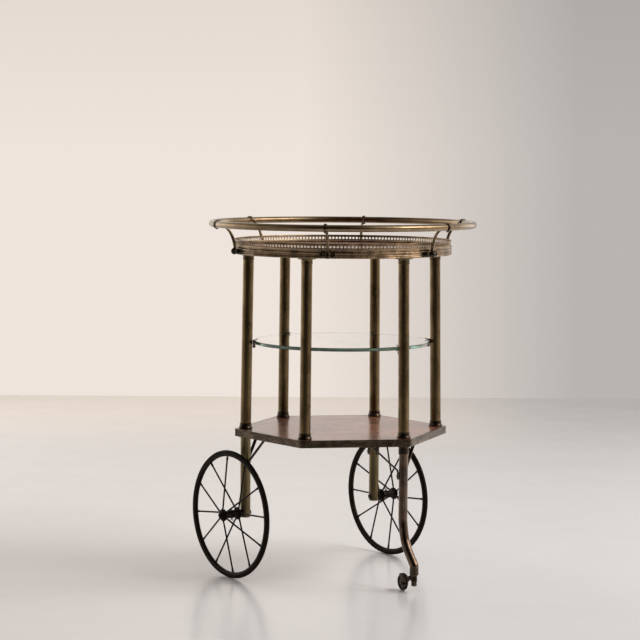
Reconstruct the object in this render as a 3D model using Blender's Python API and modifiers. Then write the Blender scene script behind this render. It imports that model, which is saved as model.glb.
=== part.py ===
"""A round bar cart on two spoked wheels and one swivel caster.

A hexagonal wooden deck stands on three legs. Six tubes rise from its corners to a round tray with
a low gallery and a handrail, and carry a round glass shelf half way up.

Units are metres and +Z is up. The origin lies on the floor under the tray's centre, X runs along
the wheel axles and the caster is at -Y. Every moving piece has its origin, or that of its parent
empty, on its own axis.
"""

import math

import bmesh
import bpy
from mathutils import Matrix, Vector

COLLECTION = "bar_cart"
CUTTERS = "bar_cart_cutters"

# Clearances
TOUCH_GAP = 0.0003
RUNNING_GAP = 0.0005
CUT_OVERRUN = 0.0040
WELD_DISTANCE = 0.000001

# Facets of round pieces
RING_STEPS = 48
RAIL_STEPS = 96
RAIL_SECTION_STEPS = 8
TUBE_STEPS = 12
TUBE_RESOLUTION = 2
WIRE_RESOLUTION = 1
SMALL_STEPS = 8
BALL_STEPS = 8
BALL_RINGS = 6
HEX_STEPS = 6
SHARP_ANGLE = 35

# The six corners, in degrees from +X: columns, deck corners and shelf clips stand there
CORNERS = {
    "front": -90,
    "front_right": -30,
    "back_right": 30,
    "back": 90,
    "back_left": 150,
    "front_left": 210,
}
HEX_TURN = 30
BRACKET_TURNS = {
    "front": -78.8,
    "front_right": -18.8,
    "back_right": 41.2,
    "back": 99.0,
    "back_left": 161.2,
    "front_left": 224.0,
}

# Deck
DECK_TOP_HEIGHT = 0.3601
DECK_THICKNESS = 0.0176
DECK_CORNER_MARGIN = 0.0272
EDGE_BAND_WALL = 0.0030
EDGE_BAND_GROOVE = 0.0008
EDGE_BAND_LIP = 0.0030

# Columns: plain tubes with a turned collar and a screw flange at the head
COLUMN_CIRCLE_RADIUS = 0.2339
COLUMN_LEAN = 0.0057
COLUMN_RADIUS = 0.0130
COLUMN_WALL = 0.0015
COLUMN_RISE = 0.4237
COLLAR_PROUD = 0.0012
COLLAR_HEIGHT = 0.0116
COLLAR_BEAD = 0.0030
FLANGE_RADIUS = 0.0217
FLANGE_THICKNESS = 0.0030

# Column feet: flared ferrules on the deck
FOOT_HEIGHT = 0.0140
FOOT_SPREAD = 0.0022
FOOT_WALL = 0.0010
FOOT_RIM = 0.0022

# Glass shelf and its clips
SHELF_RISE = 0.2052
SHELF_THICKNESS = 0.0080
SHELF_BEVEL = 0.0010
CLIP_STANDOFF = 0.0052
CLIP_GRIP = 0.0070
CLIP_WALL = 0.0021
CLIP_WIDTH = 0.0100
CLIP_SCREW_RADIUS = 0.0030
CLIP_SCREW_LENGTH = 0.0045

# Tray: a moulded ring with a sole plate, a round board in it and a gallery on it
TRAY_RING_MARGIN = 0.0363
TRAY_RING_HEIGHT = 0.0204
TRAY_RING_WALL = 0.0085
TRAY_LIP_HEIGHT = 0.0030
TRAY_STEP = 0.0020
TRAY_BEAD_PROUD = 0.0012
TRAY_BEAD_HEIGHT = 0.0030
TRAY_SOLE_THICKNESS = 0.0027
TRAY_SOLE_WIDTH = 0.0645
TRAY_WELL = 0.0037
GALLERY_HEIGHT = 0.0142
GALLERY_INSET = 0.0043
GALLERY_FLARE = 0.0022
GALLERY_WALL = 0.0012
GALLERY_BEAD_RADIUS = 0.0019
GALLERY_FOOT_WIDTH = 0.0030
GALLERY_FOOT_HEIGHT = 0.0016

# Handrail and its six brackets
RAIL_STANDOFF = 0.0508
RAIL_RISE = 0.0715
RAIL_RADIUS = 0.0080
BRACKET_THICKNESS = 0.0066
BRACKET_WIDTH = 0.0064
BRACKET_FOOT_CLEARANCE = 0.0010
BRACKET_FOOT_DROP = 0.0122
FOOT_BALL_RADIUS = 0.0080
HOOK_THICKNESS = 0.0022
HOOK_WIDTH = 0.0092
HOOK_START = 168
HOOK_END = -88
HOOK_STEPS = 10
HOOK_GAP = 0.0007
KNOB_SPACING = 0.0152
KNOB_RADIUS = 0.0066
TIE_BAR_THICKNESS = 0.0050
ARM_OUT_SHARES = (0.0, -0.02, 0.02, 0.13, 0.34, 0.60)
ARM_UP_SHARES = (0.0, 0.17, 0.34, 0.56, 0.79, 0.92)

# Back legs and their flanges under the deck
LEG_RADIUS = 0.01225
LEG_WALL = 0.0020
LEG_TAIL = 0.0110
LEG_FLANGE_RADIUS = 0.0165
LEG_FLANGE_THICKNESS = 0.0030

# Front leg: straight down, then out to the caster's pin
FRONT_LEG_RADIUS = 0.01075
FRONT_LEG_WALL = 0.0016
FRONT_LEG_KICK = 0.0420
FRONT_LEG_BEND_HEIGHT = 0.1680
KICK_OUT_SHARES = (0.0, 0.05, 0.12, 0.24, 0.41, 0.64, 1.0, 1.0)
KICK_DOWN_SHARES = (0.0, 0.17, 0.33, 0.49, 0.63, 0.77, 0.965, 1.0)
FRONT_COLLAR_DROP = 0.0030
FRONT_COLLAR_HEIGHT = 0.0170
FRONT_COLLAR_WALL = 0.0009
FRONT_COLLAR_GROOVE = 0.0004

# Braces: flat straps from the legs up to the deck, along its edges
BRACE_TAB_DROP = 0.0800
BRACE_TAB_HEIGHT = 0.0200
BRACE_RUN = 0.0610
BRACE_FOOT = 0.0140
BRACE_THICKNESS = 0.0045
BRACE_WIDTH = 0.0085
BRACE_TURNS = {
    "front": (30, 150),
    "back_right": (150, -90),
    "back_left": (30, -90),
}

# Wheels
WHEEL_RADIUS = 0.1550
TYRE_DEPTH = 0.0090
TYRE_WIDTH = 0.0110
RIM_DEPTH = 0.0057
RIM_WIDTH = 0.0100
RIM_CROWN = 0.0015
TREAD_DROP = 0.0011
SPOKE_COUNT = 12
SPOKE_RADIUS = 0.00115
SPOKE_TURNS = {"left": 35, "right": 27.5}
HUB_HALF_LENGTH = 0.0280
HUB_RADIUS = 0.0083
HUB_FLANGE_RADIUS = 0.0155
HUB_FLANGE_THICKNESS = 0.0030
HUB_FLANGE_PLACE = 0.0213

# Axles and their cap nuts
AXLE_RADIUS = 0.0045
AXLE_SHOULDER_RADIUS = 0.0080
AXLE_SHOULDER_LENGTH = 0.0040
AXLE_HEAD_RADIUS = 0.0062
AXLE_HEAD_LENGTH = 0.0012
AXLE_TAIL = 0.0060
NUT_RADIUS = 0.0076
NUT_LENGTH = 0.0090
NUT_DOME = 0.0035
NUT_CROWN = 0.0007

# Caster
CASTER_TURN = 83
CASTER_TRAIL = 0.0335
CASTER_OFFSET = 0.0092
CASTER_WHEEL_RADIUS = 0.0195
CASTER_WHEEL_WIDTH = 0.0062
CASTER_TREAD = 0.0037
CASTER_HUB_RADIUS = 0.0062
CASTER_WEB = 0.0032
CASTER_CHAMFER = 0.0008
CASTER_HOLE_COUNT = 5
CASTER_HOLE_RADIUS = 0.0029
CASTER_WHEEL_STEPS = 20
CASTER_AXLE_RADIUS = 0.0020
CASTER_AXLE_HEAD_RADIUS = 0.0036
CASTER_AXLE_HEAD = 0.0012
CHEEK_THICKNESS = 0.0018
CHEEK_FOOT_RADIUS = 0.0055
CHEEK_FOOT_START = 200
CHEEK_FOOT_END = 340
CROWN_THICKNESS = 0.0017
CROWN_GAP = 0.0007
CROWN_START = 70
CROWN_END = 165
CROWN_STEPS = 6
EYE_RADIUS = 0.0078
EYE_HEIGHT = 0.0145
HORN_ARM_RADIUS = 0.0030
HORN_ARM_ANGLE = 138
PIN_RADIUS = 0.0042
PIN_HEAD_RADIUS = 0.0073
PIN_HEAD_HEIGHT = 0.0107
SOCKET_RADIUS = 0.0105
SOCKET_BOTTOM = 0.0412
SOCKET_HEIGHT = 0.0190

# Places that follow from the sizes above
DECK_UNDERSIDE = DECK_TOP_HEIGHT - DECK_THICKNESS
DECK_CORNER_RADIUS = COLUMN_CIRCLE_RADIUS + DECK_CORNER_MARGIN
TRAY_UNDERSIDE = DECK_TOP_HEIGHT + COLUMN_RISE
COLUMN_HEAD_CIRCLE = COLUMN_CIRCLE_RADIUS - COLUMN_LEAN
COLUMN_LEAN_ANGLE = math.atan2(COLUMN_LEAN, COLUMN_RISE)
TRAY_RADIUS = COLUMN_HEAD_CIRCLE + TRAY_RING_MARGIN
TRAY_RIM_HEIGHT = TRAY_UNDERSIDE + TRAY_RING_HEIGHT
RAIL_RING_RADIUS = TRAY_RADIUS + RAIL_STANDOFF
RAIL_HEIGHT = TRAY_UNDERSIDE + RAIL_RISE
SHELF_UNDERSIDE = DECK_TOP_HEIGHT + SHELF_RISE
SHELF_MIDDLE = SHELF_UNDERSIDE + SHELF_THICKNESS / 2
CLIP_BACK_RADIUS = (
    COLUMN_CIRCLE_RADIUS
    - COLUMN_LEAN * (SHELF_RISE + SHELF_THICKNESS) / COLUMN_RISE
    - COLUMN_RADIUS
    - 2 * TOUCH_GAP
)
SHELF_RADIUS = CLIP_BACK_RADIUS - CLIP_STANDOFF + TOUCH_GAP
LEG_X = COLUMN_CIRCLE_RADIUS * math.cos(math.radians(CORNERS["back_right"]))
LEG_Y = COLUMN_CIRCLE_RADIUS * math.sin(math.radians(CORNERS["back_right"]))
WHEEL_PLANE = (
    LEG_X
    + LEG_RADIUS
    + TOUCH_GAP
    + AXLE_SHOULDER_LENGTH
    + RUNNING_GAP
    + HUB_HALF_LENGTH
)
AXLE_BORE_RADIUS = AXLE_RADIUS + RUNNING_GAP
RIM_INNER_RADIUS = WHEEL_RADIUS - TYRE_DEPTH - TOUCH_GAP - RIM_DEPTH
SOCKET_TOP = SOCKET_BOTTOM + SOCKET_HEIGHT
EYE_TOP = SOCKET_BOTTOM - RUNNING_GAP
EYE_BOTTOM = EYE_TOP - EYE_HEIGHT
PIN_CIRCLE_RADIUS = COLUMN_CIRCLE_RADIUS + FRONT_LEG_KICK


def clear_scene():
    """Removes every object that the scene starts with."""
    for obj in list(bpy.data.objects):
        bpy.data.objects.remove(obj, do_unlink=True)


def make_collection(name):
    """A collection linked to the scene."""
    collection = bpy.data.collections.new(name)
    bpy.context.scene.collection.children.link(collection)
    return collection


def finish(name, colour, metallic, roughness, alpha=1.0):
    """A Principled material, made once under its name."""
    made = bpy.data.materials.get(name)
    if made is not None:
        return made
    made = bpy.data.materials.new(name)
    made.use_nodes = True
    shader = made.node_tree.nodes["Principled BSDF"]
    shader.inputs["Base Color"].default_value = (*colour, 1.0)
    shader.inputs["Metallic"].default_value = metallic
    shader.inputs["Roughness"].default_value = roughness
    shader.inputs["Alpha"].default_value = alpha
    return made


def brass_tube():
    """Drawn brass tube with a brown patina."""
    return finish("brass_tube", (0.20, 0.135, 0.058), 1.0, 0.34)


def cast_brass():
    """Cast and turned brass, darker in its hollows."""
    return finish("cast_brass", (0.17, 0.11, 0.05), 1.0, 0.42)


def dark_brass():
    """Brass strip and forgings gone almost black."""
    return finish("dark_brass", (0.085, 0.058, 0.034), 1.0, 0.48)


def wood_veneer():
    """Red-brown veneer under a worn lacquer."""
    return finish("wood_veneer", (0.24, 0.13, 0.09), 0.0, 0.42)


def shelf_glass():
    """Clear float glass, green at its edge."""
    return finish("shelf_glass", (0.72, 0.88, 0.82), 0.0, 0.04, 0.35)


def black_enamel():
    """Black enamelled steel."""
    return finish("black_enamel", (0.018, 0.017, 0.016), 0.3, 0.45)


def tyre_rubber():
    """Solid black rubber."""
    return finish("tyre_rubber", (0.014, 0.013, 0.013), 0.0, 0.72)


def add_object(name, data, place=None, collection=COLLECTION):
    """A new object in the named collection, with an optional matrix for its place."""
    obj = bpy.data.objects.new(name, data)
    bpy.data.collections[collection].objects.link(obj)
    if place is not None:
        obj.matrix_world = place
    return obj


def add_empty(name, location, turn=(0, 0, 0)):
    """An empty on a joint's axis, turned by Euler angles in degrees."""
    empty = add_object(name, None)
    empty.location = location
    empty.rotation_euler = [math.radians(angle) for angle in turn]
    return empty


def give(mesh, material):
    """Gives a mesh its one material."""
    mesh.materials.clear()
    mesh.materials.append(material)
    return mesh


def profile_mesh(name, points, closed):
    """Points in the XZ plane joined by edges, for a Screw modifier."""
    mesh = bpy.data.meshes.new(name)
    shape = bmesh.new()
    corners = [shape.verts.new((x, 0, z)) for x, z in points]
    for first, second in zip(corners, corners[1:]):
        shape.edges.new((first, second))
    if closed:
        shape.edges.new((corners[-1], corners[0]))
    shape.to_mesh(mesh)
    shape.free()
    return mesh


def turn_profile(obj, steps):
    """Turns the object's profile round its Z axis."""
    screw = obj.modifiers.new("turned", "SCREW")
    screw.axis = "Z"
    screw.steps = steps
    screw.render_steps = steps
    screw.use_merge_vertices = True
    screw.merge_threshold = WELD_DISTANCE
    screw.use_smooth_shade = True
    return obj


def turned(name, points, material, steps=TUBE_STEPS, closed=True, collection=COLLECTION):
    """A turned piece: its profile runs down the outer side, then up the bore if it has one."""
    mesh = give(profile_mesh(name, points, closed), material)
    return turn_profile(add_object(name, mesh, collection=collection), steps)


def finished_mesh(obj, name):
    """The object's mesh with its modifiers applied and its caps welded; the object goes."""
    graph = bpy.context.evaluated_depsgraph_get()
    mesh = bpy.data.meshes.new_from_object(obj.evaluated_get(graph))
    mesh.name = name
    shape = bmesh.new()
    shape.from_mesh(mesh)
    bmesh.ops.remove_doubles(shape, verts=shape.verts, dist=WELD_DISTANCE)
    bmesh.ops.recalc_face_normals(shape, faces=shape.faces)
    shape.to_mesh(mesh)
    shape.free()
    bpy.data.objects.remove(obj, do_unlink=True)
    return mesh


def swept(name, runs, radius, resolution, collection=COLLECTION):
    """Round rods along runs of points, all in one curve with filled caps."""
    curve = bpy.data.curves.new(name, "CURVE")
    curve.dimensions = "3D"
    curve.bevel_depth = radius
    curve.bevel_resolution = resolution
    curve.use_fill_caps = True
    for run in runs:
        spline = curve.splines.new("POLY")
        spline.points.add(len(run) - 1)
        for point, place in zip(spline.points, run):
            point.co = (*place, 1)
    return add_object(name, curve, collection=collection)


def plate(name, outline, thickness, collection=COLLECTION):
    """A flat outline in the XZ plane, given as (x, z), with its thickness along Y."""
    curve = bpy.data.curves.new(name, "CURVE")
    curve.dimensions = "2D"
    curve.fill_mode = "BOTH"
    curve.extrude = thickness / 2
    spline = curve.splines.new("POLY")
    spline.points.add(len(outline) - 1)
    for point, (x, z) in zip(spline.points, outline):
        point.co = (x, z, 0, 1)
    spline.use_cyclic_u = True
    mesh = finished_mesh(add_object(name, curve, collection=collection), name)
    mesh.transform(Matrix.Rotation(math.radians(90), 4, "X"))
    return add_object(name, mesh, collection=collection)


def rod(name, radius, start, end, steps, collection=CUTTERS):
    """A plain cylinder between two points."""
    start, end = Vector(start), Vector(end)
    mesh = bpy.data.meshes.new(name)
    shape = bmesh.new()
    bmesh.ops.create_cone(
        shape,
        cap_ends=True,
        segments=steps,
        radius1=radius,
        radius2=radius,
        depth=(end - start).length,
    )
    shape.to_mesh(mesh)
    shape.free()
    turn = (end - start).to_track_quat("Z", "Y").to_matrix().to_4x4()
    mesh.transform(Matrix.Translation((start + end) / 2) @ turn)
    return add_object(name, mesh, collection=collection)


def block(name, size, centre, collection=CUTTERS):
    """A plain box."""
    mesh = bpy.data.meshes.new(name)
    shape = bmesh.new()
    bmesh.ops.create_cube(shape, size=1, matrix=Matrix.Diagonal((*size, 1)))
    shape.to_mesh(mesh)
    shape.free()
    mesh.transform(Matrix.Translation(centre))
    return add_object(name, mesh, collection=collection)


def ball(name, radius, centre, collection=CUTTERS):
    """A plain ball."""
    mesh = bpy.data.meshes.new(name)
    shape = bmesh.new()
    bmesh.ops.create_uvsphere(shape, u_segments=BALL_STEPS, v_segments=BALL_RINGS, radius=radius)
    shape.to_mesh(mesh)
    shape.free()
    mesh.transform(Matrix.Translation(centre))
    return add_object(name, mesh, collection=collection)


def merge(base, others, operation, name):
    """One mesh from the base and the others by Booleans; the objects used go."""
    for other in others:
        modifier = base.modifiers.new(operation.lower(), "BOOLEAN")
        modifier.operation = operation
        modifier.object = other
    mesh = finished_mesh(base, name)
    for other in others:
        bpy.data.objects.remove(other, do_unlink=True)
    return mesh


def cut(obj, cutter):
    """Cuts the object by a cutter that stays in the scene as a wire guide."""
    cutter.hide_render = True
    cutter.display_type = "WIRE"
    modifier = obj.modifiers.new("cut", "BOOLEAN")
    modifier.operation = "DIFFERENCE"
    modifier.object = cutter


def smooth(mesh):
    """Smooth shading that keeps the sharp edges."""
    mesh.shade_smooth()
    mesh.set_sharp_from_angle(angle=math.radians(SHARP_ANGLE))
    return mesh


def strap_outline(path, widths):
    """The outline of a bent strap: its centre line set off to both sides, mitred at the bends."""
    path = [Vector(point) for point in path]
    left, right = [], []
    for index, point in enumerate(path):
        sides = []
        if index > 0:
            sides.append((point - path[index - 1]).normalized())
        if index < len(path) - 1:
            sides.append((path[index + 1] - point).normalized())
        normals = [Vector((-side.y, side.x)) for side in sides]
        middle = sum(normals, Vector((0, 0))).normalized()
        offset = middle * widths[index] / 2 / middle.dot(normals[0])
        left.append(point + offset)
        right.append(point - offset)
    return [tuple(point) for point in left + right[::-1]]


def arc(centre, radius, start, end, steps):
    """Points on an arc, with its angles in degrees."""
    turns = [math.radians(start + (end - start) * step / steps) for step in range(steps + 1)]
    return [(centre[0] + radius * math.cos(t), centre[1] + radius * math.sin(t)) for t in turns]


def turn_about_z(degrees):
    """A turn about the cart's upright centre line."""
    return Matrix.Rotation(math.radians(degrees), 4, "Z")


def build_deck():
    """The hexagonal board and the brass band round its edge."""
    band_inner = DECK_CORNER_RADIUS - EDGE_BAND_WALL / math.cos(math.radians(HEX_TURN))
    board = band_inner - TOUCH_GAP / math.cos(math.radians(HEX_TURN))
    top = DECK_TOP_HEIGHT
    low = DECK_UNDERSIDE
    disc = [(0, top), (board, top), (board, low), (0, low)]
    deck = turned("deck_board", disc, wood_veneer(), HEX_STEPS, closed=False)
    groove = DECK_CORNER_RADIUS - EDGE_BAND_GROOVE
    section = [
        (DECK_CORNER_RADIUS, top),
        (DECK_CORNER_RADIUS, top - EDGE_BAND_LIP),
        (groove, top - EDGE_BAND_LIP),
        (groove, low + EDGE_BAND_LIP),
        (DECK_CORNER_RADIUS, low + EDGE_BAND_LIP),
        (DECK_CORNER_RADIUS, low),
        (band_inner, low),
        (band_inner, top),
    ]
    band = turned("deck_edge_band", section, dark_brass(), HEX_STEPS)
    for piece in (deck, band):
        piece.rotation_euler.z = math.radians(HEX_TURN)
        piece.modifiers["turned"].use_smooth_shade = False


def column_profile():
    """Flange, collar with two beads, plain tube, and the bore."""
    length = COLUMN_RISE - 2 * TOUCH_GAP - FLANGE_RADIUS * math.sin(COLUMN_LEAN_ANGLE)
    bead = COLUMN_RADIUS + COLLAR_PROUD
    bore = COLUMN_RADIUS - COLUMN_WALL
    head = length - FLANGE_THICKNESS
    low = head - COLLAR_HEIGHT
    return [
        (FLANGE_RADIUS, length),
        (FLANGE_RADIUS, head),
        (bead, head),
        (bead, head - COLLAR_BEAD),
        (COLUMN_RADIUS, head - COLLAR_BEAD),
        (COLUMN_RADIUS, low + COLLAR_BEAD),
        (bead, low + COLLAR_BEAD),
        (bead, low),
        (COLUMN_RADIUS, low),
        (COLUMN_RADIUS, 0),
        (bore, 0),
        (bore, length),
    ]


def foot_profile():
    """A ferrule that flares to its rim, with a bore for the leaning tube."""
    lean = FOOT_HEIGHT * math.tan(COLUMN_LEAN_ANGLE)
    bore = COLUMN_RADIUS + TOUCH_GAP + lean
    lip = bore + FOOT_WALL
    rim = lip + FOOT_SPREAD
    return [
        (lip, FOOT_HEIGHT),
        (lip, FOOT_HEIGHT - FOOT_RIM),
        (lip + FOOT_SPREAD / 4, FOOT_HEIGHT / 2),
        (rim, FOOT_RIM),
        (rim, 0),
        (bore, 0),
        (bore, FOOT_HEIGHT),
    ]


def build_columns():
    """Six leaning tubes, each in its flared foot on the deck."""
    tube = give(profile_mesh("column", column_profile(), True), brass_tube())
    foot = give(profile_mesh("column_foot", foot_profile(), True), cast_brass())
    for place, degrees in CORNERS.items():
        at = turn_about_z(degrees) @ Vector((COLUMN_CIRCLE_RADIUS, 0, DECK_TOP_HEIGHT))
        ferrule = turn_profile(add_object(f"column_foot_{place}", foot), TUBE_STEPS)
        ferrule.location = at + Vector((0, 0, TOUCH_GAP))
        ferrule.rotation_euler.z = math.radians(degrees)
        column = turn_profile(add_object(f"column_{place}", tube), TUBE_STEPS)
        lift = TOUCH_GAP + COLUMN_RADIUS * math.sin(COLUMN_LEAN_ANGLE)
        column.location = at + Vector((0, 0, lift))
        column.rotation_euler = (0, -COLUMN_LEAN_ANGLE, math.radians(degrees))


def build_shelf():
    """The round glass shelf and the six clips that grip its edge."""
    edge = SHELF_RADIUS
    disc = [
        (0, SHELF_THICKNESS),
        (edge - SHELF_BEVEL, SHELF_THICKNESS),
        (edge, SHELF_THICKNESS - SHELF_BEVEL),
        (edge, SHELF_BEVEL),
        (edge - SHELF_BEVEL, 0),
        (0, 0),
    ]
    shelf = turned("glass_shelf", disc, shelf_glass(), RING_STEPS, closed=False)
    shelf.location.z = SHELF_UNDERSIDE

    inner = SHELF_RADIUS - CLIP_GRIP
    slot = SHELF_RADIUS + TOUCH_GAP
    mouth = SHELF_THICKNESS / 2 + TOUCH_GAP
    outside = mouth + CLIP_WALL
    outline = [
        (inner, outside),
        (inner, mouth),
        (slot, mouth),
        (slot, -mouth),
        (inner, -mouth),
        (inner, -outside),
        (CLIP_BACK_RADIUS, -outside),
        (CLIP_BACK_RADIUS, outside),
    ]
    screw_at = inner + CLIP_GRIP / 2
    screw_top = -outside + CLIP_WALL / 2
    screw = rod(
        "clip_screw",
        CLIP_SCREW_RADIUS,
        (screw_at, 0, screw_top),
        (screw_at, 0, -outside - CLIP_SCREW_LENGTH),
        SMALL_STEPS,
    )
    jaw = plate("clip", outline, CLIP_WIDTH)
    mesh = smooth(give(merge(jaw, [screw], "UNION", "shelf_clip"), dark_brass()))
    for place, degrees in CORNERS.items():
        clip = add_object(f"shelf_clip_{place}", mesh)
        clip.location.z = SHELF_MIDDLE
        clip.rotation_euler.z = math.radians(degrees)


def build_tray():
    """The moulded ring with its sole, the board in it and the gallery on its rim."""
    lip = TRAY_RADIUS
    body = TRAY_RADIUS - TRAY_STEP
    bead = body + TRAY_BEAD_PROUD
    wall = TRAY_RADIUS - TRAY_RING_WALL
    sole = TRAY_RADIUS - TRAY_SOLE_WIDTH
    top = TRAY_RING_HEIGHT
    section = [
        (lip, top),
        (lip, top - TRAY_LIP_HEIGHT),
        (body, top - TRAY_LIP_HEIGHT - TRAY_STEP),
        (body, TRAY_BEAD_HEIGHT + TRAY_STEP),
        (bead, TRAY_BEAD_HEIGHT),
        (bead, TRAY_STEP),
        (body, 0),
        (sole, 0),
        (sole, TRAY_SOLE_THICKNESS),
        (wall, TRAY_SOLE_THICKNESS),
        (wall, top),
    ]
    ring = turned("tray_ring", section, cast_brass(), RING_STEPS)
    ring.location.z = TRAY_UNDERSIDE

    board = wall - TOUCH_GAP
    low = TRAY_SOLE_THICKNESS + TOUCH_GAP
    floor = TRAY_RING_HEIGHT - TRAY_WELL
    disc = [(0, floor), (board, floor), (board, low), (0, low)]
    tray_board = turned("tray_board", disc, wood_veneer(), RING_STEPS, closed=False)
    tray_board.location.z = TRAY_UNDERSIDE

    foot = TRAY_RADIUS - GALLERY_INSET
    waist = foot - (GALLERY_FOOT_WIDTH - GALLERY_WALL) / 2
    head = waist + GALLERY_FLARE
    bead_low = GALLERY_HEIGHT - 2 * GALLERY_BEAD_RADIUS
    bead_middle = head - GALLERY_WALL / 2
    section = [
        (bead_middle, GALLERY_HEIGHT),
        (bead_middle + GALLERY_BEAD_RADIUS, GALLERY_HEIGHT - GALLERY_BEAD_RADIUS),
        (head, bead_low),
        (waist, GALLERY_FOOT_HEIGHT),
        (foot, GALLERY_FOOT_HEIGHT),
        (foot, 0),
        (foot - GALLERY_FOOT_WIDTH, 0),
        (foot - GALLERY_FOOT_WIDTH, GALLERY_FOOT_HEIGHT),
        (waist - GALLERY_WALL, GALLERY_FOOT_HEIGHT),
        (head - GALLERY_WALL, bead_low),
        (bead_middle - GALLERY_BEAD_RADIUS, GALLERY_HEIGHT - GALLERY_BEAD_RADIUS),
    ]
    gallery = turned("gallery", section, cast_brass(), RING_STEPS)
    gallery.location.z = TRAY_RIM_HEIGHT + TOUCH_GAP


def bracket_mesh():
    """A curled arm with a ball foot between two ball knobs, hooked over the rail."""
    foot_x = TRAY_RADIUS + BRACKET_FOOT_CLEARANCE + FOOT_BALL_RADIUS
    foot_z = TRAY_RIM_HEIGHT - BRACKET_FOOT_DROP
    hook_radius = RAIL_RADIUS + HOOK_GAP + HOOK_THICKNESS / 2
    hook = arc((RAIL_RING_RADIUS, RAIL_HEIGHT), hook_radius, HOOK_START, HOOK_END, HOOK_STEPS)
    across = RAIL_RING_RADIUS - foot_x
    rise = RAIL_HEIGHT - foot_z
    arm = [
        (foot_x + across * out, foot_z + rise * up)
        for out, up in zip(ARM_OUT_SHARES, ARM_UP_SHARES)
    ]
    arm_widths = [BRACKET_THICKNESS] * len(arm) + [HOOK_THICKNESS / 2] * 2
    arm_strap = plate("arm", strap_outline(arm + hook[:2], arm_widths), BRACKET_WIDTH)
    hook_outline = strap_outline(hook, [HOOK_THICKNESS] * len(hook))
    hook_strap = plate("hook", hook_outline, HOOK_WIDTH, CUTTERS)
    seat = math.sqrt((TRAY_RADIUS - TRAY_STEP) ** 2 - KNOB_SPACING**2)
    knob_x = seat + TOUCH_GAP + KNOB_RADIUS
    bar = block(
        "tie_bar",
        (TIE_BAR_THICKNESS, 2 * KNOB_SPACING, TIE_BAR_THICKNESS),
        ((foot_x + knob_x) / 2, 0, foot_z),
    )
    balls = [ball("foot_ball", FOOT_BALL_RADIUS, (foot_x, 0, foot_z))]
    for side in (-1, 1):
        balls.append(ball(f"knob_{side}", KNOB_RADIUS, (knob_x, side * KNOB_SPACING, foot_z)))
    return merge(arm_strap, [hook_strap, bar, *balls], "UNION", "rail_bracket")


def build_handrail():
    """The ring-shaped handrail and the six brackets that carry it."""
    section = arc((RAIL_RING_RADIUS, 0), RAIL_RADIUS, 90, -270, RAIL_SECTION_STEPS)[:-1]
    rail = turned("handrail", section, brass_tube(), RAIL_STEPS)
    rail.location.z = RAIL_HEIGHT
    mesh = smooth(give(bracket_mesh(), cast_brass()))
    for place, degrees in BRACKET_TURNS.items():
        bracket = add_object(f"rail_bracket_{place}", mesh)
        bracket.rotation_euler.z = math.radians(degrees)


def build_back_legs():
    """Two tubes with a flange under the deck and a bore for the axle near their lower end."""
    top = DECK_UNDERSIDE - TOUCH_GAP
    low = WHEEL_RADIUS - LEG_TAIL
    bore = LEG_RADIUS - LEG_WALL
    tube = [(LEG_RADIUS, top), (LEG_RADIUS, low), (bore, low), (bore, top)]
    flange_bore = LEG_RADIUS + TOUCH_GAP
    flange_low = top - LEG_FLANGE_THICKNESS
    flange = [
        (LEG_FLANGE_RADIUS, top),
        (LEG_FLANGE_RADIUS, flange_low),
        (flange_bore, flange_low),
        (flange_bore, top),
    ]
    for name, side in (("back_left", -1), ("back_right", 1)):
        leg = turned(f"leg_{name}", tube, brass_tube())
        leg.location = (side * LEG_X, LEG_Y, 0)
        reach = LEG_RADIUS + CUT_OVERRUN
        cut(
            leg,
            rod(
                f"axle_bore_{name}",
                AXLE_BORE_RADIUS,
                (side * LEG_X - reach, LEG_Y, WHEEL_RADIUS),
                (side * LEG_X + reach, LEG_Y, WHEEL_RADIUS),
                TUBE_STEPS,
            ),
        )
        collar = turned(f"leg_flange_{name}", flange, cast_brass())
        collar.location = (side * LEG_X, LEG_Y, 0)


def front_leg_run(top, low):
    """The centre line of the front leg from its head down to the caster's socket."""
    fall = FRONT_LEG_BEND_HEIGHT - SOCKET_TOP - TOUCH_GAP
    bend = [
        (0, -COLUMN_CIRCLE_RADIUS - out * FRONT_LEG_KICK, FRONT_LEG_BEND_HEIGHT - down * fall)
        for out, down in zip(KICK_OUT_SHARES, KICK_DOWN_SHARES)
    ]
    head = (0, -COLUMN_CIRCLE_RADIUS, top)
    tail = (0, -PIN_CIRCLE_RADIUS, low)
    return [head, *bend[:-1], tail]


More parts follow.
